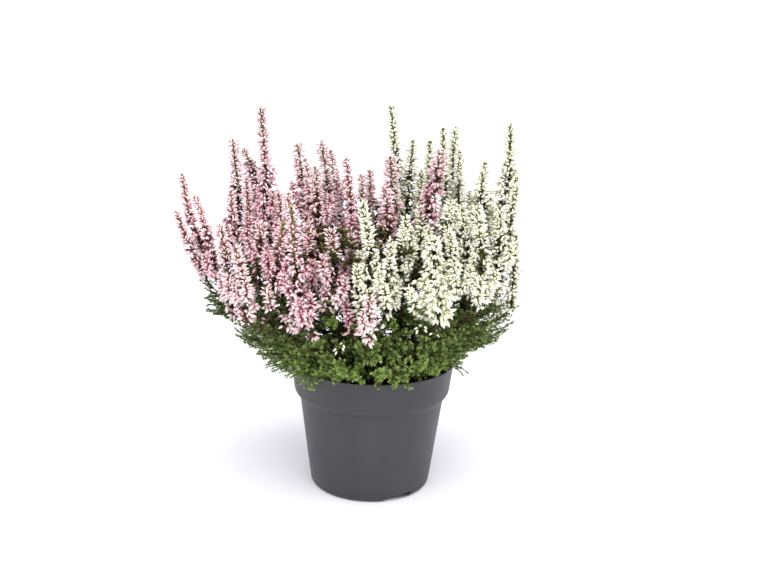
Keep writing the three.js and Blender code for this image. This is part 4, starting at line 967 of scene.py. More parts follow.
def tones(p, rng):
    """Tone and shade of a shoot by where its tip is: fresh yellow-green low down and outside at the front and back;
    darker inside, higher up under the spikes and at the sides, which is painted shade, with the shade set lower still
    towards the left, also painted shade.
    """
    r = math.hypot(p[0], p[1])
    out = r / bowl(math.atan2(p[1], p[0]), p[2])
    low = np.interp(p[2], [100, 116, 150], [1.0, 0.72, 0.3])
    side = np.interp(abs(p[0]), [30, 85], [1.0, 0.6])
    t = 0.08 + 0.86 * low * side * np.interp(out, [0.55, 0.92], [0.2, 1.0])
    return float(np.clip(t + rng.normal(0, 0.1), 0, 1)), float(np.clip(np.interp(out, [0.5, 0.92], [0.2, 0.7]) - 0.14 * np.interp(-p[0], [20, 60], [0, 1]) + rng.normal(0, 0.14), 0, 1))


# where a leafy shoot may leave a stem
roots = []
for name, st in stems.items():
    if not st["main"]:
        continue
    P = st["path"]
    T = unit(np.gradient(P, axis=0))
    top = st["low"] + 6 if "low" in st else len(P) - 3
    for i in range(3, top, 2):
        roots.append(np.concatenate([P[i], T[i], [0 if st["kind"] == "p" else 1 if st["kind"] == "w" else 2]]))
roots = np.array(roots)


def sprig(root, lead, tip, rise, rng, spread=0.55, size=3.2, side_len=9.0, gap=1.1, side_gap=3.0, leafy_from=0.25, tone=None, width=1.0, dry=False):
    """A leafy shoot from a stem to its tip, with short side shoots that grow longest in its lower half."""
    reach = np.linalg.norm(tip - root)
    P = over_rim(bezier(root, root + lead * reach * 0.38, tip - rise * reach * 0.32, tip, 1.2))
    total = length_of(P)
    store = part_of(tip)
    tn, sh = tones(tip, rng)
    if tone is not None:
        tn = tone
    if dry:  # brown shoots between the spikes, darkened by a low shade row: painted shade
        store, sh = stalks["pink" if root[0] < 2 else "white"], 0.25 * rng.random()
    q = resampled(P, 1.5 if in_wall(P, 4.0).any() else 6.0)
    wood["pink" if root[0] < 2 else "white"].tube(q, np.linspace(0.78, 0.32, len(q)), 3, int(row_of(0.3 + 0.5 * rng.random(), 0.4)), 0.2, 1.0)
    leaves_on(store, P, rng, tn, sh, spread, size, gap, start=leafy_from, radius=0.35, width=width)
    s = np.arange(leafy_from * total + 2, total - 1.5, side_gap)
    s = s + rng.normal(0, 0.5, len(s))
    if not len(s):
        return
    at, T, N, B = at_lengths(P, np.clip(s, 0, total))
    phi0 = rng.uniform(0, 2 * math.pi)
    for k in range(len(s)):
        u = (s[k] - leafy_from * total) / max(total * (1 - leafy_from), 1e-6)
        ln = side_len * max(0.32, (1 - u) ** 0.6) * min(1.0, 0.45 + 2.2 * u) * rng.uniform(0.7, 1.2)
        if ln < 2.2:
            continue
        phi = phi0 + k * 2.2 + rng.normal(0, 0.3)
        radial = math.cos(phi) * N[k] + math.sin(phi) * B[k]
        a = math.radians(46 + rng.normal(0, 8))
        d = unit(math.cos(a) * T[k] + math.sin(a) * radial + np.array((0, 0, 0.14)))
        end = at[k] + d * ln * 0.6 + unit(d + 0.8 * T[k]) * ln * 0.45
        Q = over_rim(bezier(at[k], at[k] + d * ln * 0.4, end - unit(d + T[k]) * ln * 0.3, end, 1.0))
        leaves_on(store, Q, rng, tn + 0.1, sh + 0.05, spread, size * 0.94, gap, start=0.1, radius=0.25, width=width)


def place_sprig(tip, rng, reach=34.0, rise=None, **options):
    """Joins a tip to the stem that passes nearest to where its shoot would start."""
    out = np.array((tip[0], tip[1], 0.0))
    out = out / max(np.linalg.norm(out), 1e-6)
    if rise is None:
        rise = unit(out + np.array((0, 0, rng.uniform(0.2, 0.9))))
    want = tip - unit(0.75 * out + 0.65 * rise) * reach
    want[2] = max(want[2], 97.0)
    d = np.linalg.norm(roots[:, :3] - want, axis=1)
    d = d + 3.0 * np.maximum(roots[:, 2] - tip[2] + 2, 0)
    i = int(np.argmin(d))
    root, lead = roots[i, :3], unit(roots[i, 3:6] + 0.7 * unit(tip - roots[i, :3]))
    sprig(root, lead, tip, rise, rng, **options)


rng = np.random.default_rng(20)
# (height, spread of heights, how far out, number, reach, rise)
LEVELS = (
    (103, 2.5, 1.0, 28, 22, (-0.3, 0.3)),
    (109, 3.0, 1.0, 42, 26, (-0.1, 0.7)),
    (117, 3.5, 1.0, 50, 30, (0.1, 0.9)),
    (127, 4.0, 1.0, 54, 32, (0.2, 1.1)),
    (138, 4.5, 0.98, 50, 32, (0.4, 1.4)),
    (150, 5.0, 0.95, 42, 30, (0.7, 1.8)),
    (162, 6.0, 0.86, 26, 28, (1.0, 2.4)),
)
# shoots stand closest together at the sides and the front
turns = np.linspace(0, 2 * math.pi, 361)
share = 0.9 + 0.75 * np.cos(turns) ** 4 + 0.15 * np.clip(-np.sin(turns), 0, 1) - 0.3 * np.clip(np.sin(turns), 0, 1) ** 2
share = np.concatenate([[0], np.cumsum(0.5 * (share[1:] + share[:-1]))])
share /= share[-1]
for z0, dz, out, n, reach, (r0, r1) in LEVELS:
    shift = rng.random()
    for k in range(n):
        a = float(np.interp(((k + rng.uniform(-0.35, 0.35)) / n + shift) % 1.0, share, turns))
        z = z0 + rng.uniform(-dz, dz)
        r = bowl(a, z) * out * (rng.uniform(0.95, 1.025) if k % 3 else rng.uniform(0.8, 0.92))
        tip = np.array((r * math.cos(a), r * math.sin(a), z))
        o = np.array((math.cos(a), math.sin(a), 0.0))
        right = tip[0] > 42 and z0 > 112
        place_sprig(
            tip, rng, 1.15 * reach if right else reach, unit(o + np.array((0, 0, rng.uniform(r0, r1)))),
            spread=0.55 if right else 0.7, size=3.2, side_len=8.0 if right else 8.5, gap=1.15,
            leafy_from=0.08 if right else 0.25, side_gap=2.8 if tip[1] < 30 else 3.8,
        )
# a second layer behind the rim of the bowl at the right
for k in range(38):
    a = math.radians(-62 + 2.9 * k + rng.uniform(-2, 2))
    z = rng.uniform(108, 156)
    r = bowl(a, z) * rng.uniform(0.78, 0.95)
    o = np.array((math.cos(a), math.sin(a), 0.0))
    place_sprig(np.array((r * o[0], r * o[1], z)), rng, 28, unit(o + np.array((0, 0, rng.uniform(0.2, 1.2)))), spread=0.6, size=4.0, side_len=8.5, gap=1.7, leafy_from=0.1, side_gap=3.4, width=1.15)
# low at the left, over the rim
for k in range(18):
    a = math.radians(182 + 3.0 * k + rng.uniform(-1.5, 1.5))
    z = 97 + rng.uniform(-5, 5)
    r = bowl(a, z) * rng.uniform(0.96, 1.03) + 3.5
    o = np.array((math.cos(a), math.sin(a), 0.0))
    place_sprig(np.array((r * o[0], r * o[1], z)), rng, 24, unit(o + np.array((0, 0, rng.uniform(-0.6, 0.0)))), spread=0.7, size=3.2, side_len=8.5, gap=1.15, leafy_from=0.25, side_gap=2.8)
# dark shoots at the far left and a drooping one at the right of the rim
for tip, rise, side_len, reach in (
    ((-130, -10, 150), (-1, -0.1, 0.5), 8.0, 28), ((-127, -16, 147), (-1, -0.2, 0.2), 8.0, 28), ((-124, -4, 146), (-1, 0.1, 0.1), 8.0, 28),
    ((-120, -14, 141), (-0.9, -0.3, 0.0), 8.0, 28), ((-128, 2, 153), (-0.9, 0.3, 0.6), 8.0, 30), ((-115, -12, 137), (-0.9, -0.2, -0.1), 8.0, 26),
    ((-119, 0, 143), (-0.9, 0.1, 0.2), 8.0, 26), ((-124, -20, 151), (-0.9, -0.3, 0.5), 8.0, 28), ((-131, -6, 157), (-0.9, -0.1, 0.9), 7.0, 28),
    ((-126, -26, 144), (-0.9, -0.4, -0.2), 8.0, 28), ((-122, 8, 146), (-0.9, 0.4, 0.2), 8.0, 28),
    ((70, -24, 98), (0.6, -0.2, -1.0), 4.5, 15), ((74, -22, 99), (0.8, -0.2, -0.8), 4.5, 16),
):
    place_sprig(np.array(tip, float), rng, reach, unit(np.array(rise, float)), spread=0.6, size=3.3, side_len=side_len, gap=1.1, side_gap=2.6, leafy_from=0.15, tone=0.26)
for k in range(16):
    tip = np.array((-119, -12, 145)) + rng.uniform(-1, 1, 3) * (11, 11, 8)
    place_sprig(tip, rng, 24, unit(np.array((-0.9, rng.uniform(-0.5, 0.3), rng.uniform(-0.1, 0.9)))), spread=0.66, size=3.5, side_len=7.0, gap=1.15, side_gap=2.3, leafy_from=0.1, tone=0.2, width=1.25)
# inside, between the stems and the spikes: leafy shoots in the darkest tone, painted shade, up to where the spikes part
# small bunches that hang below the spikes: pink or not, tip, heading at the tip, buds, size, tone
SPRAYS = (
    (True, (-76, -62, 162), (-0.3, -0.7, -0.6), 9, 4.8, 0.9), (True, (-63, -68, 146), (-0.1, -0.8, -0.8), 8, 4.8, 1.0),
    (True, (-66, -66, 150), (-0.3, -0.8, -0.4), 6, 4.6, 1.0), (True, (-43, -74, 141), (0.1, -0.8, -0.7), 11, 4.8, 0.95),
    (True, (-88, -56, 150), (-0.4, -0.6, -0.6), 8, 4.6, 0.85),
    (False, (-25, -84, 134), (-0.1, -0.9, -0.5), 5, 3.7, 1.0), (False, (31, -88, 152), (0.1, -0.8, -0.5), 5, 3.7, 1.0),
    (False, (44, -86, 146), (0.2, -0.8, -0.6), 2, 3.6, 1.0), (False, (102.5, -12, 154), (0.8, -0.2, -0.3), 9, 4.2, 0.95),
    (False, (103, -16, 166), (0.8, -0.2, 0.0), 9, 4.2, 0.95), (False, (102, -10, 146), (0.8, -0.1, -0.5), 8, 4.2, 0.95),
    (False, (96, -28, 150), (0.7, -0.5, -0.4), 9, 4.2, 0.95), (False, (108, -4, 140), (0.8, 0.0, -0.5), 7, 4.2, 0.95),
    (False, (90, -34, 142), (0.6, -0.6, -0.6), 7, 4.2, 0.95), (False, (98, -20, 160), (0.7, -0.4, -0.2), 8, 4.2, 0.95),
)
INNER = ((104, 130, 60, 0.84, 22), (126, 168, 60, 0.84, 28), (165, 228, 104, 0.88, 30))
for low_z, high_z, n, out, reach in INNER:
    for k in range(n):
        a, q = 2.39996 * k + low_z, math.sqrt((k + 0.5) / n)
        z = rng.uniform(low_z, high_z)
        r = bowl(math.atan2(math.sin(a), math.cos(a)), min(z, 150)) * out * q
        tip = np.array((r * math.cos(a) - 4, r * math.sin(a) + (10 if z > 140 else 4), min(z, 236 - 0.5 * r)))
        place_sprig(tip, rng, reach, unit(np.array((0.4 * math.cos(a), 0.4 * math.sin(a), 1.0))), spread=0.66, size=5.4, side_len=9, gap=2.7, side_gap=5.2, leafy_from=0.1, tone=0.02 + 0.2 * rng.random(), width=1.5, dry=low_z > 160)
# the twelve green shoots
for name, st in stems.items():
    if st["kind"] != "g":
        continue
    r2 = np.random.default_rng(int(hashed(name, "g") * 1e9))
    P = st["path"]
    h = len(P) // 3
    wood["pink" if P[0, 0] < 2 else "white"].tube(resampled(P[: h + 2], 3.0), 0.95, 6, int(row_of(0.3, 0.5)))
    sprig(P[h], unit(P[h + 1] - P[h]), P[-1], unit(P[-1] - P[-5]), r2, spread=0.62, size=3.2, side_len=10, leafy_from=0.1)
# leaves and short shoots up the lower part of each flower stem
for name, st in stems.items():
    if st["kind"] == "g":
        continue
    r2 = np.random.default_rng(int(hashed(name, "l") * 1e9))
    P = st["path"][: st["low"] + 4]
    total = length_of(P)
    if total < 12:
        continue
    s = np.arange(0.16 * total, total, 4.6 if name[1] == "5" else 2.6 if P[-1, 0] > 55 else 3.4)
    at, T, N, B = at_lengths(P, s)
    for k in range(len(s)):
        phi = k * 2.39996 + r2.normal(0, 0.3)
        radial = math.cos(phi) * N[k] + math.sin(phi) * B[k]
        ln = r2.uniform(5, 11)
        d = unit(0.7 * T[k] + radial)
        end = at[k] + d * ln * 0.6 + unit(d + T[k]) * ln * 0.4
        Q = bezier(at[k], at[k] + d * ln * 0.35, end - unit(d + T[k]) * ln * 0.3, end, 1.0)
        tn, sh = tones(end, r2)
        leaves_on(part_of(end), Q, r2, tn * 0.8, sh * 0.9, 0.6, 3.3, 1.5, start=0.05, radius=0.25, width=1.1)



# ---- loose flowers low among the leaves ------------------------------------------------------------------
def spray(pink, tip, lead, n, size, tone, rng):
    """A thin twig from the nearest stem of the plant, with a few hanging buds near its end."""
    kind = 0 if pink else 1
    own = roots[roots[:, 6] == kind]
    out = unit(np.array((tip[0], tip[1], 0.0)))
    want = tip - 22 * unit(0.8 * out + np.array((0, 0, 0.5)))
    i = int(np.argmin(np.linalg.norm(own[:, :3] - want, axis=1)))
    root = own[i, :3]
    P = bezier(root, root + unit(own[i, 3:6] + out) * 8, tip - unit(np.array(lead, float)) * 7, tip, 1.2)
    total = length_of(P)
    key = "pink" if pink else "white"
    q = resampled(P, 4.0)
    stalks[key].tube(q, np.linspace(0.5, 0.28, len(q)), 3, int(row_of(0.3, 0.4)), 0.1, 1.0)
    s = total - np.abs(rng.uniform(0, min(11.0, 0.6 * total), n))
    at, T, N, B = at_lengths(P, s)
    phi = np.arange(n) * 2.39996
    radial = np.cos(phi)[:, None] * N + np.sin(phi)[:, None] * B
    d = unit(radial * (1, 1, 0.5) + 0.3 * T + np.array((0, 0, -0.7)))
    L = size * rng.uniform(0.85, 1.15, n)
    put_buds(pink, at + radial * 1.6, d, L, tone + rng.normal(0, 0.1, n), np.full(n, 0.95), rng, True, 1.05)
    stalks[key].stamp(PEDICEL, at, unit(radial + 0.1 * T), unit(np.cross(radial, T)), np.full(n, 2.0), np.full(n, 0.34), np.full(n, 0.34), row_of(np.full(n, 0.4), np.full(n, 0.5)))


rng = np.random.default_rng(77)
for pink, tip, lead, n, size, tone in SPRAYS:
    spray(pink, np.array(tip, float), lead, n, size, tone, rng)

print("LEAVES", {k: c.triangles() // 4 for k, c in foliage.items()})


# ---- the pot --------------------------------------------------------------------------------------------
def body_radius(z):
    return 48.0 + 0.1302 * z


POT_PROFILE = [  # (radius, z), upwards along the outside and back down along the inside
    (0, 0), (6, 0), (12.4, 0), (13.0, 0.05), (13.5, 0.18), (14.2, 0.6), (14.8, 1.0), (18.0, 4.2), (18.5, 4.5), (19.2, 4.6),
    (30.0, 4.6), (45.4, 4.6), (45.9, 4.4), (45.95, 4.0), (45.4, 2.4), (44.2, 0.3), (43.95, 0.06), (44.2, 0.0), (45.2, 0.0), (45.8, 0.12), (46.7, 0.55),
    (47.3, 1.0), (47.75, 1.6), (48.05, 2.3), (48.25, 3.2), (body_radius(7.0) - 0.42, 6.9), (body_radius(7.2) - 0.36, 7.2),
    (body_radius(7.4) - 0.1, 7.42), (body_radius(7.7), 7.75), (body_radius(8.4), 8.4), (body_radius(24), 24), (body_radius(40), 40),
    (body_radius(56), 56), (body_radius(70.2), 70.2), (body_radius(71.2) + 0.05, 71.2), (57.65, 72.3), (58.2, 73.3), (58.95, 74.3), (59.7, 75.2), (60.5, 76.25),
    (61.05, 77.05), (61.5, 77.9), (61.85, 78.8), (62.1, 79.7), (62.25, 80.7), (62.38, 82.0), (63.1, 88), (63.9, 94), (64.62, 100.0),
    (64.78, 100.6), (64.95, 101.0), (65.0, 101.4), (64.93, 101.75), (64.72, 102.0), (64.4, 102.1),
    (64.1, 102.1), (63.82, 101.98), (63.62, 101.7), (63.52, 101.2), (63.36, 100.0), (62.1, 90.5), (60.99, 81.6), (60.7, 80.2), (60.3, 79.0), (59.5, 77.7), (58.4, 76.3),
    (57.2, 74.6), (56.3, 72.4), (body_radius(71.2) - 1.35, 70.8), (body_radius(40) - 1.35, 40), (body_radius(9) - 1.35, 9), (47.0, 7.4), (46.4, 6.6), (45.0, 6.1),
    (19.4, 6.1), (18.6, 5.8), (15.4, 2.4), (14.4, 1.6), (13.6, 1.5), (0, 1.5),
]


def lathe(profile, segments, name, phase=0.0):
    """A closed turned mesh; the profile's first and last points are on the axis."""
    rings = [(r, z) for r, z in profile if r > 1e-6]
    a = np.arange(segments) * 2 * math.pi / segments + phase
    v = np.concatenate([np.stack([r * np.cos(a), r * np.sin(a), np.full(segments, z)], 1) for r, z in rings])
    v = np.vstack([v, (0, 0, profile[0][1]), (0, 0, profile[-1][1])])
    n, k = len(rings), np.arange(segments)
    m = (k + 1) % segments
    quads = [np.stack([i * segments + k, i * segments + m, (i + 1) * segments + m, (i + 1) * segments + k], 1) for i in range(n - 1)]
    low = [(int(n * segments), int(b), int(a)) for a, b in zip(k, m)]
    last = (n - 1) * segments
    high = [(int(n * segments + 1), int(last + a), int(last + b)) for a, b in zip(k, m)]
    me = bpy.data.meshes.new(name)
    me.from_pydata((v * MM).tolist(), [], [list(map(int, q)) for g in quads for q in g] + low + high)
    me.validate()
    me.update()
    return link(name, me)


def prism(name, outline, depth, matrix):
    """An outline in x, y pushed along z, as a cutter."""
    n = len(outline)
    if sum(a[0] * b[1] - a[1] * b[0] for a, b in zip(outline, outline[1:] + outline[:1])) < 0:
        outline = outline[::-1]
    v = [(x, y, 0.0) for x, y in outline] + [(x, y, depth) for x, y in outline]
    f = [tuple(range(n - 1, -1, -1)), tuple(range(n, 2 * n))]
    f += [(i, (i + 1) % n, n + (i + 1) % n, n + i) for i in range(n)]
    me = bpy.data.meshes.new(name)
    me.from_pydata([tuple(MM * c for c in p) for p in v], [], f)
    me.transform(Matrix.Translation([MM * c for c in matrix.translation]) @ matrix.to_3x3().to_4x4())
    me.update()
    return link(name, me)


def joined(name, obs):
    data = [(np.array([tuple(v.co) for v in o.data.vertices]), [list(p.vertices) for p in o.data.polygons]) for o in obs]
    v, f, n = [], [], 0
    for a, b in data:
        v += a.tolist()
        f += [[i + n for i in p] for p in b]
        n += len(a)
    for o in obs:
        bpy.data.objects.remove(o)
    me = bpy.data.meshes.new(name)
    me.from_pydata(v, [], f)
    me.update()
    return link(name, me)


def baked(ob):
    """The mesh with its modifiers applied."""
    dg = bpy.context.evaluated_depsgraph_get()
    me = bpy.data.meshes.new_from_object(ob.evaluated_get(dg))
    ob.modifiers.clear()
    ob.data = me
    return ob


def facing(angle):
    """A frame whose z runs outwards at that angle, x along the rim and y up."""
    c, s = math.cos(angle), math.sin(angle)
    m = Matrix(((-s, 0, c, 0), (c, 0, s, 0), (0, 1, 0, 0), (0, 0, 0, 1)))
    return m


# Outlines of the low gaps in the foot ring and the vents beside them: degrees from the front towards +X, height.
FOOT_GAP = [(12, -1), (12, 0), (13.4, 1.35), (15, 2.4), (16.6, 3.15), (18.5, 3.75), (20.4, 4.1), (22.5, 4.2), (26, 3.9), (31, 3.3), (36, 2.6), (41, 1.7), (46, 0.75), (50, 0), (50, -1)]
VENT = [(33, 3.6), (42, 2.3), (42.5, 4.1), (33, 4.5)]
pot = lathe(POT_PROFILE, 144, "plant_pot")
cutters = []
for i in range(6):
    a = math.radians(30 + 60 * i)
    ring = [(3.6 * math.cos(t), 3.6 * math.sin(t)) for t in np.arange(32) * 2 * math.pi / 32]
    m = Matrix.Translation((30 * math.cos(a), 30 * math.sin(a), 3.0))
    cutters.append(prism(f"drain_cut_{i}", ring, 6.0, m))
for i in range(3):
    for k, outline in enumerate((FOOT_GAP, VENT)):
        middle = (outline[0][0] + outline[-2][0]) / 2
        angle = math.radians(middle + 120 * i - 90)
        m = facing(angle)
        m.translation = (40 * math.cos(angle), 40 * math.sin(angle), 0)
        cutters.append(prism(f"foot_cut_{i}_{k}", [(47.5 * math.sin(math.radians(d - middle)), z) for d, z in outline], 12.0, m))
for c in cutters:
    cut = pot.modifiers.new(c.name, "BOOLEAN")
    cut.operation, cut.solver, cut.object = "DIFFERENCE", "EXACT", c
    c.hide_render = True
baked(pot)
for c in cutters:
    bpy.data.objects.remove(c)
pot.data.polygons.foreach_set("use_smooth", np.ones(len(pot.data.polygons), bool))
pot.data.set_sharp_from_angle(angle=math.radians(38))

mat, nt, bsdf = new_material("matte_moulded_plastic", 0.5, 0.55)
coords = nt.nodes.new("ShaderNodeTexCoord").outputs["Object"]


def noise(nt, vector, scale, detail=3.0, stretch=None):
    if stretch:
        k = nt.nodes.new("ShaderNodeVectorMath")
        k.operation = "MULTIPLY"
        nt.links.new(vector, k.inputs[0])
        k.inputs[1].default_value = stretch
        vector = k.outputs[0]
    n = nt.nodes.new("ShaderNodeTexNoise")
    n.inputs["Scale"].default_value = scale
    n.inputs["Detail"].default_value = detail
    nt.links.new(vector, n.inputs["Vector"])
    return n.outputs["Fac"]


cloudy = noise(nt, coords, 26.0, 4.0)
grain = noise(nt, coords, 2600.0, 2.0)
flow = noise(nt, coords, 60.0, 3.0, (1.0, 1.0, 0.12))
dust = noise(nt, coords, 340.0, 5.0)
base = mix(nt, number(nt, cloudy, 0.3, 0.7, 0.0, 1.0), srgb(44, 43, 47), srgb(48, 47, 51))
base = mix(nt, number(nt, flow, 0.45, 0.8, 0.0, 0.35), base, srgb(64, 63, 66))
base = mix(nt, number(nt, dust, 0.66, 0.78, 0.0, 0.3), base, srgb(88, 85, 85))
nt.links.new(base, bsdf.inputs["Base Color"])
nt.links.new(number(nt, cloudy, 0.3, 0.7, 0.44, 0.56), bsdf.inputs["Roughness"])
bump = nt.nodes.new("ShaderNodeBump")
bump.inputs["Strength"].default_value = 0.12
bump.inputs["Distance"].default_value = 0.0004
nt.links.new(grain, bump.inputs["Height"])
nt.links.new(bump.outputs["Normal"], bsdf.inputs["Normal"])
pot.data.materials.clear()
pot.data.materials.append(mat)

# ---- growing medium -------------------------------------------------------------------------------------
from mathutils import noise as mnoise


def bumps(x, y, scale, seed=0.0):
    return np.array([mnoise.noise(Vector((a * scale, b * scale, seed))) for a, b in zip(x, y)])


SOIL_SEG = 120
side_profile = [(0, 6.5), (44.8, 6.5), (46.1, 7.2), (47.5, 9.7), (body_radius(40) - 1.8, 40), (body_radius(71) - 1.8, 71), (56.5, 74.6), (58.6, 77.5), (59.8, 79.6), (60.5, 82.2)]
top_r = np.array([61.3, 60.6, 59.5, 57.8, 55.5, 53, 50, 47, 44, 41, 38, 35, 32, 29, 26, 23, 20, 17, 14, 11, 8, 5, 2.5])
ang = np.arange(SOIL_SEG) * 2 * math.pi / SOIL_SEG
rings = [np.stack([r * np.cos(ang), r * np.sin(ang), np.full(SOIL_SEG, z)], 1) for r, z in side_profile[1:]]
for r in top_r:
    x, y = r * np.cos(ang), r * np.sin(ang)
    edge = np.interp(r, [50, 58.5, 61.3], [0, -0.7, -2.6])
    z = 88.3 + edge + 1.5 * bumps(x, y, 0.11) + 0.8 * bumps(x, y, 0.35, 5.0) + 0.35 * bumps(x, y, 1.1, 9.0)
    rings.append(np.stack([x, y, z], 1))
v = np.concatenate(rings + [np.array([(0, 0, 6.5), (0, 0, 88.4)])])
n = len(rings)
faces = []
for i in range(n - 1):
    for k in range(SOIL_SEG):
        m = (k + 1) % SOIL_SEG
        a, b = i * SOIL_SEG + k, i * SOIL_SEG + m
        faces += [(a, b, b + SOIL_SEG), (a, b + SOIL_SEG, a + SOIL_SEG)]
for k in range(SOIL_SEG):
    m = (k + 1) % SOIL_SEG
    faces.append((n * SOIL_SEG, m, k))
    faces.append((n * SOIL_SEG + 1, (n - 1) * SOIL_SEG + k, (n - 1) * SOIL_SEG + m))
me = bpy.data.meshes.new("peat_medium")
me.from_pydata((v * MM).tolist(), [], faces)
me.update()
me.polygons.foreach_set("use_smooth", np.ones(len(me.polygons), bool))
soil = link("peat_medium", me)

mat, nt, bsdf = new_material("damp_peat", 0.95, 0.15)
coords = nt.nodes.new("ShaderNodeTexCoord").outputs["Object"]
a = number(nt, noise(nt, coords, 420.0, 6.0), 0.32, 0.68, 0.0, 1.0)
b = number(nt, noise(nt, coords, 90.0, 3.0), 0.35, 0.7, 0.0, 1.0)
base = mix(nt, a, srgb(24, 16, 12), srgb(66, 47, 35))
base = mix(nt, number(nt, noise(nt, coords, 900.0, 2.0), 0.62, 0.72, 0.0, 0.8), base, srgb(104, 78, 56))
base = mix(nt, b, base, srgb(38, 27, 20), "MULTIPLY")
base = mix(nt, 0.55, base, srgb(44, 31, 24))
nt.links.new(base, bsdf.inputs["Base Color"])
bump = nt.nodes.new("ShaderNodeBump")
bump.inputs["Strength"].default_value = 0.6
bump.inputs["Distance"].default_value = 0.0006
nt.links.new(a, bump.inputs["Height"])
nt.links.new(bump.outputs["Normal"], bsdf.inputs["Normal"])
soil.data.materials.append(mat)
peat_material = mat

# crumbs lying on it
rng = np.random.default_rng(77)
g = (1 + 5**0.5) / 2
ico_v = unit(np.array([(-1, g, 0), (1, g, 0), (-1, -g, 0), (1, -g, 0), (0, -1, g), (0, 1, g), (0, -1, -g), (0, 1, -g), (g, 0, -1), (g, 0, 1), (-g, 0, -1), (-g, 0, 1)], float))
ico_f = np.array([(0, 11, 5), (0, 5, 1), (0, 1, 7), (0, 7, 10), (0, 10, 11), (1, 5, 9), (5, 11, 4), (11, 10, 2), (10, 7, 6), (7, 1, 8), (3, 9, 4), (3, 4, 2), (3, 2, 6), (3, 6, 8), (3, 8, 9), (4, 9, 5), (2, 4, 11), (6, 2, 10), (8, 6, 7), (9, 8, 1)])
count = 420
rr = 60.2 * np.sqrt(rng.random(count))
aa = rng.uniform(0, 2 * math.pi, count)
x, y = rr * np.cos(aa), rr * np.sin(aa)
z = 88.3 + np.interp(rr, [50, 58.5, 61.3], [0, -0.7, -2.6]) + 1.5 * bumps(x, y, 0.11) + 0.8 * bumps(x, y, 0.35, 5.0)
size = rng.gamma(2.2, 0.5, count).clip(0.4, 2.6)
v = ico_v[None] * rng.uniform(0.6, 1.25, (count, 12, 1)) * (size[:, None, None] * rng.uniform(0.6, 1.2, (count, 1, 3)))
v = v + np.stack([x, y, z + size * 0.2], 1)[:, None]
v[..., :2] *= np.minimum(1.0, 60.9 / np.hypot(v[..., 0], v[..., 1]))[..., None]
f = ico_f[None] + (np.arange(count) * 12)[:, None, None]
me = bpy.data.meshes.new("peat_crumbs")
me.from_pydata((v.reshape(-1, 3) * MM).tolist(), [], f.reshape(-1, 3).tolist())
me.update()
crumbs = link("peat_crumbs", me)
crumbs.data.materials.append(peat_material)

# ---- woody bases ----------------------------------------------------------------------------------------
mat, nt, bsdf = new_material("rough_bark", 0.88, 0.15)
coords = nt.nodes.new("ShaderNodeTexCoord").outputs["Object"]
a = number(nt, noise(nt, coords, 160.0, 6.0, (1.0, 1.0, 0.3)), 0.35, 0.66, 0.0, 1.0)
c = number(nt, noise(nt, coords, 700.0, 4.0), 0.35, 0.7, 0.0, 1.0)
base = mix(nt, a, srgb(44, 29, 21), srgb(112, 82, 60))
base = mix(nt, c, base, srgb(86, 60, 44))
nt.links.new(base, bsdf.inputs["Base Color"])
bump = nt.nodes.new("ShaderNodeBump")
bump.inputs["Strength"].default_value = 0.8
bump.inputs["Distance"].default_value = 0.0012
nt.links.new(a, bump.inputs["Height"])
nt.links.new(bump.outputs["Normal"], bsdf.inputs["Normal"])
bark_material = mat


def woody_base(name, cx, cy, seed):
    seg, rows = 56, 30
    v, f = [], []
    for i in range(rows):
        t = i / (rows - 1)
        for k in range(seg):
            a = 2 * math.pi * k / seg
            if t < 0.3:  # the root part below the surface
                q = t / 0.3
                r, z = 2.2 + 3.0 * q**0.6, 64.9 + 22.3 * q
            else:
                q = (t - 0.3) / 0.7 * math.pi / 2
                r, z = 12.4 * math.cos(q) * 0.995 + 0.05, 87.2 + 12.3 * math.sin(q)
            lobes = 0.06 * math.sin(5 * a + seed) + 0.05 * math.sin(9 * a + 2 * seed)
            w = mnoise.noise(Vector((math.cos(a) * 1.8 + seed, math.sin(a) * 1.8, z * 0.18)))
            r *= 1 + lobes * (1 - t) + 0.1 * w
            v.append(((cx + r * math.cos(a)) * MM, (cy + r * math.sin(a)) * MM, (z + 0.6 * w) * MM))
    for i in range(rows - 1):
        for k in range(seg):
            m = (k + 1) % seg
            f.append((i * seg + k, i * seg + m, (i + 1) * seg + m, (i + 1) * seg + k))
    f.append(tuple(range(seg - 1, -1, -1)))
    f.append(tuple((rows - 1) * seg + k for k in range(seg)))
    me = bpy.data.meshes.new(name)
    me.from_pydata(v, [], f)
    me.update()
    me.polygons.foreach_set("use_smooth", np.ones(len(me.polygons), bool))
    ob = link(name, me)
    ob.data.materials.append(bark_material)
    return ob


rootstocks = {"pink": woody_base("pink_rootstock", -19, 4, 1.3), "white": woody_base("white_rootstock", 23, 4, 4.1)}

# ---- pieces and what they stand for ----------------------------------------------------------------------
made = []


def finish_piece(ob, slot, *nodes):
    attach(ob, "root")
    if nodes:
        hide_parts(*nodes)
    made.append(ob)


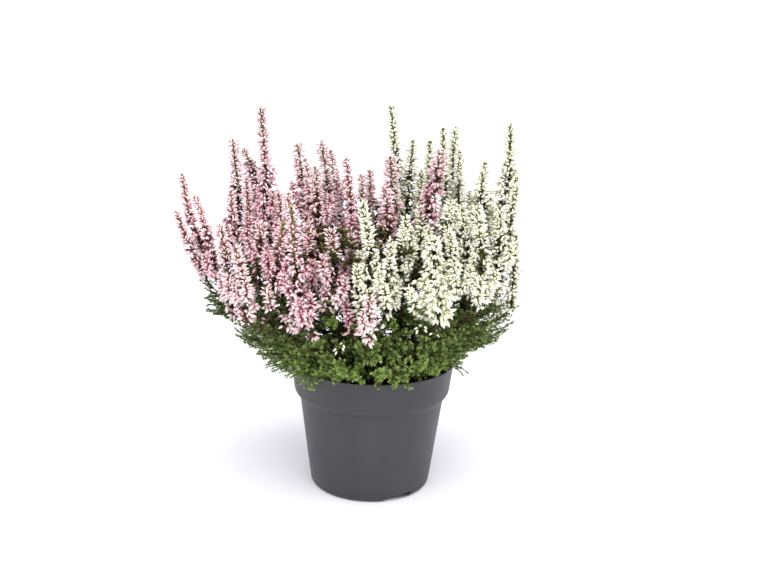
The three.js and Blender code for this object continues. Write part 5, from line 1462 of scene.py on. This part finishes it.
finish_piece(pot, "pot_plastic", "nursery_pot")
finish_piece(soil, "peat", "growing_medium")
finish_piece(crumbs, "peat", "growing_medium")
finish_piece(rootstocks["pink"], "bark", "pink_woody_base")
finish_piece(rootstocks["white"], "bark", "white_woody_base")
pink_nodes = [st["node"] for st in stems.values() if st["kind"] == "p" and "node" in st]
white_nodes = [st["node"] for st in stems.values() if st["kind"] == "w" and "node" in st]
green_nodes = [st["node"] for st in stems.values() if st["kind"] == "g"]
finish_piece(wood["pink"].piece("pink_woody_stems", twig_brown), "bark", *pink_nodes)
finish_piece(wood["white"].piece("white_woody_stems", twig_brown), "bark", *white_nodes)
finish_piece(stalks["pink"].piece("pink_flower_stalks", pink_stalk), "heather_leaves", *pink_nodes)
finish_piece(stalks["white"].piece("white_flower_stalks", white_stalk), "heather_leaves", *white_nodes)
for key, cluster in buds.items():
    if not cluster.n:
        continue
    kind = key.split("_")[0]
    finish_piece(cluster.piece(f"{kind}_flower_buds_{key.split('_')[1]}", pink_bud if kind == "pink" else white_bud), f"{kind}_buds", *(pink_nodes if kind == "pink" else white_nodes))
for key, cluster in foliage.items():
    finish_piece(cluster.piece(f"heather_foliage_{key}", leaf_green, False), "heather_leaves", *green_nodes)

total = 0
for ob in made:
    n = sum(len(p.vertices) - 2 for p in ob.data.polygons)
    total += n
    print("PIECE", ob.name, n)
print("ALL", total)

# ---- floor, light and camera -----------------------------------------------------------------------------
profile = [(0.0, 0.0), (3.4, 0.0)] + [(3.4 + 1.4 * math.sin(t), 1.4 - 1.4 * math.cos(t)) for t in np.linspace(0.08, math.pi / 2, 14)] + [(4.8, 2.6)]
seg = 96
v = [(r * math.cos(2 * math.pi * k / seg), r * math.sin(2 * math.pi * k / seg), z - 0.0002) for r, z in profile[1:] for k in range(seg)]
f = [tuple(range(seg))] + [(i * seg + k, (i + 1) * seg + k, (i + 1) * seg + (k + 1) % seg, i * seg + (k + 1) % seg) for i in range(len(profile) - 2) for k in range(seg)]
me = bpy.data.meshes.new("studio_floor")
me.from_pydata(v, [], f)
me.polygons.foreach_set("use_smooth", np.ones(len(me.polygons), bool))
floor = link("studio_floor", me)
mat, nt, bsdf = new_material("pale_floor", 0.9, 0.1)
coords = nt.nodes.new("ShaderNodeTexCoord").outputs["Object"]
nt.links.new(mix(nt, number(nt, noise(nt, coords, 8.0, 3.0), 0.3, 0.7, 0, 1), srgb(232, 233, 240), srgb(234, 235, 242)), bsdf.inputs["Base Color"])
floor.data.materials.append(mat)

world = bpy.data.worlds.new("soft_white_room")
bpy.context.scene.world = world
world.use_nodes = True
back = world.node_tree.nodes["Background"]
back.inputs["Color"].default_value = (0.985, 0.96, 0.93, 1.0)
back.inputs["Strength"].default_value = 0.64


def lamp(name, kind, energy, where, towards, size=1.0, colour=(1, 1, 1)):
    data = bpy.data.lights.new(name, kind)
    data.energy = energy
    data.color = colour
    if kind == "AREA":
        data.shape = "DISK"
        data.size = size
    else:
        data.angle = size
    ob = bpy.data.objects.new(name, data)
    bpy.context.scene.collection.objects.link(ob)
    ob.location = where
    ob.rotation_mode = "QUATERNION"
    ob.rotation_quaternion = (Vector(towards) - Vector(where)).to_track_quat("-Z", "Y")
    return ob


lamp("front_right_softbox", "SUN", 3.05, (0.8, -1.1, 1.5), (0, 0, 0.1), math.radians(92), (1.0, 0.98, 0.945))
lamp("front_left_softbox", "SUN", 1.98, (-0.7, -1.1, 1.6), (0, 0, 0.1), math.radians(92), (1.0, 0.985, 0.955))

camera = bpy.data.objects.new("camera", bpy.data.cameras.new("camera"))
bpy.context.scene.collection.objects.link(camera)
camera.data.sensor_width = 36.0
camera.data.sensor_fit = "HORIZONTAL"
camera.data.lens = 890.9 / 772 * 36.0
right = Vector((0.99957414, -0.00655323, 0.02843588))
up = Vector((-0.02611644, 0.23382515, 0.97192784))
ahead = Vector((0.0130183, 0.97225658, -0.23355443))
m = Matrix((right, up, -ahead)).transposed().to_4x4()
m.translation = (0.0, -0.6804, 0.3220)
camera.matrix_world = m
camera.data.clip_start, camera.data.clip_end = 0.01, 50.0
bpy.context.scene.camera = camera
bpy.context.scene.view_settings.view_transform = "Standard"
bpy.context.scene.view_settings.look = "None"
